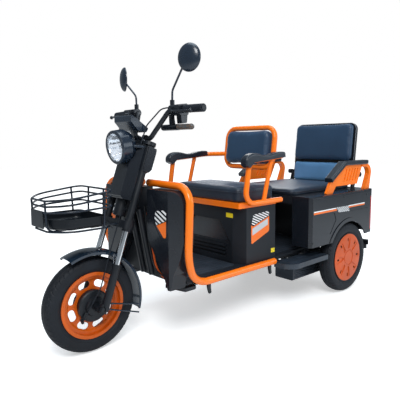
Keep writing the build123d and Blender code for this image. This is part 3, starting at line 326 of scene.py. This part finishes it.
orange_paint = surface("orange_paint", ORANGE, 0.30, 0.04, 0.05, peel=0.10, Specular_IOR_Level=0.4,
                       Coat_Weight=0.12, Coat_Roughness=0.12)
rim_orange = surface("rim_orange", (0.58, 0.095, 0.003), 0.34, 0.05, 0.08, peel=0.10,
                     Specular_IOR_Level=0.35)
cover_orange = surface("cover_orange", (0.56, 0.080, 0.010), 0.40, 0.05, 0.10, peel=0.12,
                       Specular_IOR_Level=0.35)
ribbed_mat = ribbed("ribbed_mat", (0.022, 0.029, 0.040), 1, 0.030)
step_mat = ribbed("step_mat", (0.018, 0.026, 0.038), 1, 0.045)
cable_colours = inner_cable("cable_colours", -267.3, 569, (0.80, 0.11, 0.008), (0.006, 0.008, 0.011))
black_gloss = surface("black_gloss", BLACK, 0.24, 0.04, 0.2, peel=0.05, Specular_IOR_Level=0.36,
                      Coat_Weight=0.08)
black_satin = surface("black_satin", (0.0065, 0.0085, 0.012), 0.40, 0.07, 0.2, peel=0.1, grain=0.1,
                      Specular_IOR_Level=0.36)
black_matte = surface("black_matte", (0.008, 0.0105, 0.015), 0.50, 0.06, 0.2, grain=0.5, grain_size=700,
                      Specular_IOR_Level=0.32)
# Fender: glossy black, its colour tinted blue as a painted sky reflection.
fender_painted_reflection = surface("fender_painted_reflection", (0.010, 0.022, 0.040), 0.22, 0.04, 0.2, peel=0.05,
                       Coat_Weight=0.3)
blue_black = surface("blue_black", (0.008, 0.016, 0.030), 0.26, 0.05, 0.2, peel=0.06,
                     Coat_Weight=0.15)
seat_leather = leather("seat_leather", (0.012, 0.019, 0.032))
back_blue = leather("back_blue", (0.016, 0.043, 0.088), 0.40, 0.3)
# Lower back pad: dark leather lightened to a brighter blue in its colour, a painted sky reflection.
back_leather_painted_reflection = leather("back_leather_painted_reflection", (0.080, 0.200, 0.370), 0.34, 0.3)
tyre_rubber = rubber("tyre_rubber", (0.0075, 0.0095, 0.0135), 0.62)
grip_rubber = rubber("grip_rubber", (0.009, 0.012, 0.018), 0.55)
fork_chrome = chrome("fork_chrome")
# Reflector bowl with a faint blue emission: a painted glow, as the lamp is not lit.
mirror_bowl_painted_glow = surface("mirror_bowl_painted_glow", (0.86, 0.90, 0.96), 0.08, 0.03, 0.06, Metallic=1.0,
                      Emission_Color=(0.8, 0.9, 1.0), Emission_Strength=0.06)
steel = surface("bare_steel", (0.45, 0.45, 0.46), 0.3, 0.08, 0.15, grain=0.2, Metallic=1.0)
dark_case = surface("dark_case", (0.035, 0.045, 0.060), 0.40, 0.06, 0.12, grain=0.2, Metallic=0.4)
pad_rubber = surface("pad_rubber", (0.008, 0.013, 0.022), 0.32, 0.05, 0.15,
                     grain=0.25, grain_size=500)
tray_black = surface("tray_black", (0.004, 0.006, 0.009), 0.38, 0.05, 0.2, grain=0.2,
                     Specular_IOR_Level=0.3)
basket_wire = surface("basket_wire", (0.005, 0.010, 0.019), 0.30, 0.05, 0.2, peel=0.1,
                      Specular_IOR_Level=0.4)
window_grey = surface("window_grey", (0.012, 0.015, 0.021), 0.24, 0.05, 0.12, grain=0.05)
blank_grey = surface("blank_grey", (0.52, 0.53, 0.56), 0.4, 0.04, 0.06, grain=0.05)
piping_grey = surface("piping_grey", (0.22, 0.23, 0.25), 0.35, 0.05, 0.1, grain=0.1)
headlight_glass = lamp_glass("headlight_glass", 100)
red_lens = coloured_lens("red_lens", (0.42, 0.012, 0.012), 0.12, 0.5, 120, Coat_Weight=0.5)
mirror_glass = surface("mirror_glass", (0.58, 0.61, 0.65), 0.03, 0.01, 0.02, Metallic=1.0)
white_ink = surface("white_ink", (0.82, 0.82, 0.82), 0.4, 0.04, 0.04, grain=0.05)
orange_ink = surface("orange_ink", (0.90, 0.16, 0.006), 0.4, 0.04, 0.06, grain=0.05)
yellow_ink = surface("yellow_ink", (0.80, 0.62, 0.01), 0.45, 0.04, 0.06, grain=0.05)
black_ink = surface("black_ink", (0.010, 0.010, 0.011), 0.4, 0.04, 0.1, grain=0.05)

BY_NODE = {
    rim_orange: "front_rim",
    orange_paint: "hoops seat_frame armrests back_hoop rear_armrests",
    cover_orange: "rear_left_cover rear_right_cover",
    black_satin: "front_hub front_brake fork_sliders fork_yokes frame_head frame_rails "
                 "frame_crossmembers frame_rear_mount rear_axle rear_bumper rear_shocks "
                 "handlebar backrest_brackets rear_left_rim rear_right_rim",
    fork_chrome: "fork_stanchions",
    black_gloss: "shroud glove_box leg_shields rear_sides rear_panel indicators hand_controls",
    fender_painted_reflection: "front_fender",
    basket_wire: "basket",
    tray_black: "basket_tray backrest_shell",
    blue_black: "headlight_shell dash mirrors",
    step_mat: "step_boards",
    black_matte: "front_bulkhead floor_pan seat_box rear_deck battery_block",
    ribbed_mat: "floor_mats",
    cable_colours: "cables",
    grip_rubber: "grips front_cables",
    pad_rubber: "arm_pads",
    seat_leather: "front_cushion rear_cushion back_pad backrest_pads",
    headlight_glass: "lamp_lenses",
    red_lens: "tail_lamps",
    dark_case: "controller",
    tyre_rubber: "front_tyre rear_left_tyre rear_right_tyre",
}
for material, names in BY_NODE.items():
    for name in names.split():
        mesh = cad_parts[name].data
        mesh.materials.clear()
        mesh.materials.append(material)

SOFT_EDGES = {              # width of the moulded or rolled edge, in mm
    "rear_sides": 9, "leg_shields": 7, "arm_pads": 7, "seat_box": 5, "step_boards": 5, "shroud": 4,
    "seat_frame": 4, "glove_box": 2.5, "dash": 2, "rear_armrests": 1.5, "front_bulkhead": 1,
}
SHARPEST = math.radians(32)
for name, width in SOFT_EDGES.items():
    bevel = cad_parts[name].modifiers.new("soft_edges", "BEVEL")
    bevel.width = width * MM
    bevel.segments = 3
    bevel.limit_method = "ANGLE"
    bevel.angle_limit = SHARPEST
    bevel.use_clamp_overlap = name not in ("rear_sides", "leg_shields")
    bevel.harden_normals = True


# ------------------------------------------------------------------ mesh helpers
def add(name, mesh, material, body, smooth=True):
    """Puts a mesh in the scene, on the body that it rides."""
    obj = bpy.data.objects.new(name, mesh)
    bpy.context.collection.objects.link(obj)
    obj.data.materials.append(material)
    if smooth:
        mesh.shade_smooth()
    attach(obj, body)
    return obj


def mesh_of(name, bm):
    """Mesh from what was built, with its faces turned outwards."""
    mesh = bpy.data.meshes.new(name)
    bmesh.ops.recalc_face_normals(bm, faces=bm.faces)
    bm.to_mesh(mesh)
    bm.free()
    return mesh


def plane_mesh(name, rings):
    """Flat thin label: each outline is a loop of points, filled."""
    bm = bmesh.new()
    for points in rings:
        bm.faces.new([bm.verts.new(p) for p in points])
    return mesh_of(name, bm)


# ------------------------------------------------------------------ upholstery
def rounded_outline(half_u, half_v, corner, steps=6):
    """Points of a rectangle with round corners, counter-clockwise."""
    points = []
    for cu, cv, start in ((1, 1, 0), (-1, 1, 90), (-1, -1, 180), (1, -1, 270)):
        for k in range(steps + 1):
            a = math.radians(start + 90 * k / steps)
            u = cu * (half_u - corner) + corner * math.cos(a)
            v = cv * (half_v - corner) + corner * math.sin(a)
            points.append((u, v))
    return points


CUSHION_EDGE = 10.0         # mm, round of the upper edge
CLOTH_PRESSURE = 4.0
CLOTH_STEPS = 20
REMESH_SIZE = 0.006         # m


def pad(name, place, half_u, half_v, thick, corner, node, body, cap, rest_side=True,
        cover=seat_leather):
    """Cushion on a plane, u and v across it, w out of it, in mm: no point swells by more than 'cap'."""
    bm = bmesh.new()
    layers = []
    for w, shrink in ((0, 3), (3, 0), (thick - CUSHION_EDGE, 0),
                      (thick - CUSHION_EDGE * 0.3, CUSHION_EDGE * 0.35), (thick, CUSHION_EDGE)):
        ring = rounded_outline(half_u - shrink, half_v - shrink, max(corner - shrink, 4))
        layers.append([bm.verts.new(place @ Vector((u * MM, v * MM, w * MM))) for u, v in ring])
    for low, high in zip(layers, layers[1:]):
        for k in range(len(low)):
            bm.faces.new((low[k - 1], low[k], high[k], high[k - 1]))
    bm.faces.new(layers[0])
    bm.faces.new(layers[-1])
    obj = add(name, mesh_of(name, bm), cover, body)
    remesh = obj.modifiers.new("remesh", "REMESH")
    remesh.mode = "VOXEL"
    remesh.voxel_size = REMESH_SIZE
    remesh.use_smooth_shade = True
    apply_all(obj)
    start = [v.co.copy() for v in obj.data.vertices]
    cloth = obj.modifiers.new("cloth", "CLOTH")
    cloth.settings.use_pressure = True
    cloth.settings.uniform_pressure_force = CLOTH_PRESSURE
    cloth.settings.effector_weights.gravity = 0
    cloth.settings.quality = 5
    scene = bpy.context.scene
    for step in range(1, CLOTH_STEPS + 1):
        scene.frame_set(step)
    apply_all(obj)
    scene.frame_set(1)
    inverse = place.inverted()
    for vertex, old in zip(obj.data.vertices, start):
        move = vertex.co - old
        if move.length > cap * MM:
            vertex.co = old + move.normalized() * cap * MM
        local = inverse @ vertex.co
        if rest_side and local.z < 0:
            local.z = 0
        vertex.co = place @ local
    smooth = obj.modifiers.new("smooth", "SMOOTH")
    smooth.factor = 0.5
    smooth.iterations = 3
    apply_all(obj)
    obj.data.shade_smooth()
    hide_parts(node)


def apply_all(obj):
    """Bakes the object's modifiers into its mesh."""
    graph = bpy.context.evaluated_depsgraph_get()
    mesh = bpy.data.meshes.new_from_object(obj.evaluated_get(graph))
    obj.modifiers.clear()
    old = obj.data
    obj.data = mesh
    if not mesh.materials:
        mesh.materials.append(old.materials[0])


def facing(origin, across, out):
    """Matrix of a plane: u along 'across', w along 'out'."""
    w = out.normalized()
    u = across.normalized()
    v = w.cross(u).normalized()
    turn = Matrix((u, v, w)).transposed().to_4x4()
    return Matrix.Translation(origin) @ turn


driver_seat = facing(at(-796, 0, 592.6), LEFT, UP)
bench_seat = facing(at(-1384, 0, 590.3), LEFT, UP)
pad("driver_cushion", driver_seat, 250, 140, 66, 32, "front_cushion", "driver_seat", 8)
pad("bench_cushion", bench_seat, 246, 300, 28, 28, "rear_cushion", "chassis", 6)

BACK_LEAN = math.radians(7.4)
back_out = Vector((math.cos(BACK_LEAN), 0, math.sin(BACK_LEAN)))
back_up = Vector((-math.sin(BACK_LEAN), 0, math.cos(BACK_LEAN)))
back_mid = at(-993, 0, 744) + back_up * 0.1085
pad("driver_back_pad", facing(back_mid - back_out * 0.016, LEFT, back_out),
    161, 94, 50, 42, "back_pad", "chassis", 7, rest_side=False, cover=back_blue)

TILT = math.radians(6.5)    # bench backrest
rear_out = Vector((math.cos(TILT), 0, math.sin(TILT)))
rear_up = Vector((-math.sin(TILT), 0, math.cos(TILT)))
rear_hinge = at(-1749.5, 0, 604)
rear_foot = rear_hinge + rear_out * 0.0223
pad("rear_back_upper", facing(rear_foot + rear_up * 0.270, LEFT, rear_out),
    221, 121, 31, 34, "backrest_pads", "chassis", 6, cover=back_blue)
# Lower pad, in the leather with the painted sky reflection.
pad("rear_back_lower", facing(rear_foot + rear_up * 0.072, LEFT, rear_out),
    217, 67, 24, 18, "backrest_pads", "chassis", 4, cover=back_leather_painted_reflection)


# ------------------------------------------------------------------ tyres
TYRE_STEPS = 240
GROOVE = 3.0                # mm deep


def tyre_mesh(name, middle):
    """Road tyre: ribbed crown, slanted shoulder grooves, a moulded ring on each wall."""
    outer = [
        (143, 30), (147, 33), (151, 35.2), (154, 36.6), (156, 38.6), (160, 39.3), (166, 39.9),
        (174, 39.6), (178, 38.6), (182, 38.2), (186, 37.6), (190, 36.2), (193, 34.2), (196, 31),
        (198.5, 27), (200.2, 23), (200.9, 20.5), (199.2, 19.3), (199.3, 16.7), (201.6, 15.4),
        (203.2, 10), (203.7, 5), (203.9, 2.2), (201.8, 1.2), (201.8, 0),
    ]
    profile = outer + [(r, -w) for r, w in reversed(outer[:-1])]
    profile += [(132.2, -30), (132.2, 30)]
    bm = bmesh.new()
    rings = []
    for k in range(TYRE_STEPS):
        ring = []
        for r, w in profile:
            lag = int(round((abs(w) - 20) * 0.12))
            groove = (k + lag) % 5 == 0 and 22 < abs(w) < 38 and r > 186
            reach = r - (GROOVE if groove else 0)
            a = 2 * math.pi * k / TYRE_STEPS
            point = Vector((reach * math.cos(a), w, reach * math.sin(a)))
            ring.append(bm.verts.new(middle + point * MM))
        rings.append(ring)
    for last, ring in zip(rings[-1:] + rings, rings):
        for j in range(len(profile)):
            bm.faces.new((last[j - 1], last[j], ring[j], ring[j - 1]))
    return mesh_of(name, bm)


for node, body, middle in (
    ("front_tyre", "front_wheel", at(0, 0, AXLE_Z)),
    ("rear_left_tyre", "rear_left_wheel", at(REAR_AXLE_X, REAR_WHEEL_Y, AXLE_Z)),
    ("rear_right_tyre", "rear_right_wheel", at(REAR_AXLE_X, -REAR_WHEEL_Y, AXLE_Z)),
):
    tyre = add(node + "_tread", tyre_mesh(node + "_tread", middle), tyre_rubber, body, smooth=False)
    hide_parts(node)


# ------------------------------------------------------------------ graphics, all blank
def cut_to(poly, region):
    """Convex outline kept inside a convex region, both counter-clockwise."""
    for a, b in zip(region, region[1:] + region[:1]):
        kept = []
        for p, q in zip(poly, poly[1:] + poly[:1]):
            side_p = (b[0] - a[0]) * (p[1] - a[1]) - (b[1] - a[1]) * (p[0] - a[0])
            side_q = (b[0] - a[0]) * (q[1] - a[1]) - (b[1] - a[1]) * (q[0] - a[0])
            if side_p >= 0:
                kept.append(p)
            if side_p * side_q < 0:
                t = side_p / (side_p - side_q)
                kept.append((p[0] + t * (q[0] - p[0]), p[1] + t * (q[1] - p[1])))
        poly = kept
        if len(poly) < 3:
            return []
    return poly


def stripes(region, slope, first, pitch, width, count):
    """Slanted bars v = first + slope * u, stepping down by pitch, inside a region."""
    left, right = min(u for u, v in region) - 5, max(u for u, v in region) + 5
    bars = []
    for k in range(count):
        v = first - k * pitch
        bar = [(left, v + slope * left), (right, v + slope * right),
               (right, v + slope * right + width), (left, v + slope * left + width)]
        bars.append(cut_to(bar, region))
    return [bar for bar in bars if bar]


def label(name, place, outlines, material, both=True):
    """Thin graphic: outlines in the plane that place(u, v) gives in stations, on both sides or one."""
    rings = []
    for outline in outlines:
        for side in (1, -1) if both else (1,):
            rings.append([at(x, side * y, z) for x, y, z in (place(u, v) for u, v in outline)])
    add(name, plane_mesh(name, rings), material, "chassis", smooth=False)


def on_shield(u, v):
    return -238.5, u, v


def on_box_side(u, v):
    return -u, 262.5, v


def on_box_front(u, v):
    return -667.5, u, v


def on_tub(u, v):
    return -u, 373.5, v


def over_box_field(u, v):
    return -u, 263.2, v


def on_box_panel(u, v):
    return -681.6, u, v


shield_patch = [(150, 554), (163, 533), (232, 559), (234, 596), (226, 603), (158, 592)]
label("shield_stripes", on_shield, stripes(shield_patch, -0.50, 697, 21, 11, 9), white_ink)
label("shield_wedge", on_shield, [[(164, 530), (232, 556), (230, 492), (224, 484), (212, 484)]],
      orange_ink)

box_patch = [(735, 486), (746, 473), (862, 511), (866, 527), (856, 535), (748, 528)]
label("box_stripes", on_box_side, stripes(box_patch, -0.42, 884, 13, 6.5, 12), white_ink)
label("box_field", on_box_side,
      [[(731, 479), (746, 470), (866, 508), (867, 438), (862, 430), (738, 384), (733, 388)]],
      orange_ink)
label("box_field_blank", over_box_field, [[(740, 460), (856, 499), (856, 466), (740, 426)]], blank_grey)
label("yellow_front", on_box_front, [[(153, 515), (200, 514), (200, 536), (153, 537)]],
      yellow_ink, both=False)
label("yellow_side", on_box_side, [[(883, 316), (912, 314), (912, 337), (883, 338)]],
      yellow_ink, both=False)

label("tub_white", on_tub, [[(1098, 508), (1314, 508), (1314, 514), (1098, 514)],
                            [(1446, 508), (1632, 508), (1632, 514), (1446, 514)]], white_ink)
label("tub_orange", on_tub, [[(1098, 497), (1322, 497), (1318, 507), (1098, 507)],
                             [(1450, 500), (1632, 500), (1632, 507), (1446, 507)]], orange_ink)
tub_patch = [(1340, 484), (1457, 480), (1446, 513), (1318, 515)]
label("tub_hatch", on_tub, stripes(tub_patch, 0.62, -268, 15, 7.5, 14), white_ink)
label("box_window", on_box_panel, [[(-166, 390), (166, 390), (100, 492), (-100, 492)]],
      window_grey, both=False)


# ------------------------------------------------------------------ small fittings
def solid_mesh(name, pieces, material, body):
    """One object of several lathe turns, each (foot, direction, [(radius, height) ...], sides)."""
    bm = bmesh.new()
    for foot, out, profile, sides in pieces:
        turn = UP.rotation_difference(out.normalized()).to_matrix()
        rings = []
        for r, h in profile:
            rings.append([
                bm.verts.new(foot + turn @ Vector((r * MM * math.cos(t), r * MM * math.sin(t), h * MM)))
                for t in (2 * math.pi * k / sides for k in range(sides))
            ])
        for low, high in zip(rings, rings[1:]):
            for k in range(sides):
                bm.faces.new((low[k - 1], low[k], high[k], high[k - 1]))
        bm.faces.new(rings[0])
        bm.faces.new(rings[-1])
    add(name, mesh_of(name, bm), material, body, smooth=False)


def bolt(foot, out, size):
    """Hexagon head with a small chamfer."""
    return foot, out, [(size, 0), (size, size * 0.7), (size * 0.8, size * 0.9)], 6


side_ways = [(1, LEFT), (-1, -LEFT)]
steer_up = on_steer(0, 0, 1) - on_steer(0, 0, 0)
steer_out = on_steer(1, 0, 0) - on_steer(0, 0, 0)
yoke_bolts = [bolt(on_steer(f, y, 724.2), steer_up, 6) for f in (-18, 18) for y in (-58, 58)]
clamp_bolts = [bolt(on_steer(22.5, s * 90, z), steer_out, 4.5) for s in (1, -1) for z in (338, 366)]
solid_mesh("fork_bolts", yoke_bolts + clamp_bolts, steel, "steering")

SCREW_HEAD = [(6, 0), (5.5, 1.2), (3, 1.8)]
SCREW_PLACES = [(-1092, 560), (-1092, 345), (-1400, 566), (-1660, 560)]
tub_screws = [(at(x, s * 373.2, z), out, SCREW_HEAD, 16)
              for s, out in side_ways for x, z in SCREW_PLACES]
solid_mesh("tub_screws", tub_screws, black_satin, "chassis")

FACETS = 32
LAMP_DIP = math.radians(8)


def reflector():
    """Faceted bowl behind the headlight's glass, with a bulb at its middle; the bowl's faint glow is
    painted light.
    """
    bm = bmesh.new()
    lean = Matrix.Rotation(LAMP_DIP, 4, "Y")
    place = Matrix.Translation(at(-143, 0, 862)) @ lean
    rings = []
    for r, depth in ((12, -46), (24, -41), (38, -32), (50, -20), (60, -7)):
        ring = []
        for k in range(FACETS):
            a = 2 * math.pi * k / FACETS
            dent = 3.5 if k % 2 else 0
            point = Vector(((depth - dent) * MM, r * MM * math.cos(a), r * MM * math.sin(a)))
            ring.append(bm.verts.new(place @ point))
        rings.append(ring)
    for low, high in zip(rings, rings[1:]):
        for k in range(FACETS):
            bm.faces.new((low[k - 1], low[k], high[k], high[k - 1]))
    bm.faces.new(rings[0])
    add("reflector", mesh_of("reflector", bm), mirror_bowl_painted_glow, "steering", smooth=False)
    bulb = (place @ Vector((-0.044, 0, 0)), lean @ AHEAD, [(11, 0), (11, 16), (7, 22), (2, 24)], 20)
    solid_mesh("bulb", [bulb], black_ink, "steering")


reflector()


MIRROR_TURN = math.radians(20)
MIRROR_SIDES = ((1, 1232), (-1, 1196))      # side, height of the middle


def mirror_faces():
    """Oval glass just behind each mirror's rim, turned towards the driver."""
    bm = bmesh.new()
    turn = Matrix.Rotation(MIRROR_TURN, 3, "Z")
    for side, z in MIRROR_SIDES:
        ring = []
        for k in range(40):
            a = 2 * math.pi * k / 40
            p = turn @ Vector((-0.5, 50.76 * math.cos(a), 55.46 * math.sin(a)))
            ring.append(bm.verts.new(at(-362 + p.x, side * (250 + p.y), z + p.z)))
        bm.faces.new(ring)
    add("mirror_faces", mesh_of("mirror_faces", bm), mirror_glass, "steering", smooth=False)


mirror_faces()


def outline_wire(name, place, half_u, half_v, corner, w, size, material, body):
    """Piping: a round cord along the outline of a cushion, w out of its plane, all in mm."""
    outline = rounded_outline(half_u, half_v, corner, 8)
    points = [place @ Vector((u * MM, v * MM, w * MM)) for u, v in outline]
    curve = bpy.data.curves.new(name, "CURVE")
    curve.dimensions = "3D"
    curve.bevel_depth = size * MM / 2
    curve.bevel_resolution = 3
    spline = curve.splines.new("POLY")
    spline.points.add(len(points) - 1)
    for slot, point in zip(spline.points, points):
        slot.co = (*point, 1)
    spline.use_cyclic_u = True
    obj = bpy.data.objects.new(name, curve)
    bpy.context.collection.objects.link(obj)
    curve.materials.append(material)
    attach(obj, body)


outline_wire("driver_piping", driver_seat, 249, 139, 34, 50, 3.2, seat_leather, "driver_seat")
outline_wire("bench_piping", bench_seat, 245, 299, 28, 18, 3.2, seat_leather, "chassis")
outline_wire("back_trim", facing(rear_hinge + rear_up * 0.198, LEFT, rear_out),
             228, 198, 42, 21, 3.0, piping_grey, "chassis")


# ------------------------------------------------------------------ floor, world and lamps
def floor_material():
    """Pale floor that keeps the shadow; the camera sees it brighten to white with the distance."""
    n = Nodes("studio_floor")
    n.set("Base Color", n.ramp(n.noise(2.0), [(0.3, (0.90, 0.90, 0.90)), (0.7, (0.92, 0.92, 0.92))]))
    n.shader(Roughness=0.9, Emission_Color=(1, 1, 1), Specular_IOR_Level=0.0)
    seen = n.new("ShaderNodeLightPath")
    reach = n.new("ShaderNodeVectorMath", operation="LENGTH")
    n.link(n.place, reach.inputs[0])
    far = n.new("ShaderNodeMapRange")
    far.inputs["From Min"].default_value = 1.4
    far.inputs["From Max"].default_value = 4.5
    far.inputs["To Min"].default_value = 0.46
    far.inputs["To Max"].default_value = 1.0
    n.link(reach.outputs["Value"], far.inputs["Value"])
    lift = n.maths("MULTIPLY", seen.outputs["Is Camera Ray"], far.outputs["Result"])
    n.set("Emission Strength", lift)
    return n.material


bm = bmesh.new()
bmesh.ops.create_grid(bm, x_segments=1, y_segments=1, size=14)
floor = bpy.data.objects.new("studio_floor", mesh_of("studio_floor", bm))
bpy.context.collection.objects.link(floor)
floor.data.materials.append(floor_material())

SKY = (0.80, 0.91, 1.0)


def make_world():
    """White to the camera and through glass, a dimmer sky blue as the light on the part."""
    world = bpy.data.worlds.new("studio")
    bpy.context.scene.world = world
    world.use_nodes = True
    tree = world.node_tree
    tree.nodes.clear()
    out, mix, seen, lit, path, either = (tree.nodes.new("ShaderNode" + kind) for kind in (
        "OutputWorld", "MixShader", "Background", "Background", "LightPath", "Math"))
    either.operation = "MAXIMUM"
    seen.inputs["Color"].default_value = (1, 1, 1, 1)
    seen.inputs["Strength"].default_value = 1.0
    lit.inputs["Color"].default_value = (*SKY, 1)
    lit.inputs["Strength"].default_value = 0.36
    tree.links.new(path.outputs["Is Camera Ray"], either.inputs[0])
    tree.links.new(path.outputs["Is Transmission Ray"], either.inputs[1])
    tree.links.new(either.outputs[0], mix.inputs["Fac"])
    tree.links.new(lit.outputs[0], mix.inputs[1])
    tree.links.new(seen.outputs[0], mix.inputs[2])
    tree.links.new(mix.outputs[0], out.inputs["Surface"])


make_world()


def area(name, place, aim, size, power, colour=(1, 1, 1)):
    """Rectangular lamp, in metres and watts, turned to the point that it lights."""
    data = bpy.data.lights.new(name, "AREA")
    data.shape = "RECTANGLE"
    data.size, data.size_y = size
    data.energy = power
    data.color = colour
    lamp = bpy.data.objects.new(name, data)
    bpy.context.collection.objects.link(lamp)
    lamp.location = place
    lamp.rotation_mode = "QUATERNION"
    lamp.rotation_quaternion = (Vector(aim) - Vector(place)).to_track_quat("-Z", "Y")


area("key", (2.2, 2.6, 3.4), (0, 0, 0.5), (1.6, 1.6), 125)
area("fill", (-2.4, 3.2, 1.8), (-0.2, 0, 0.5), (2.4, 1.6), 45, (0.85, 0.93, 1.0))
area("overhead", (0, 0, 4.2), (0, 0, 0), (3.2, 2.4), 80, SKY)
area("rim", (-3.0, -2.6, 2.4), (0, 0, 0.6), (2.0, 1.6), 40)
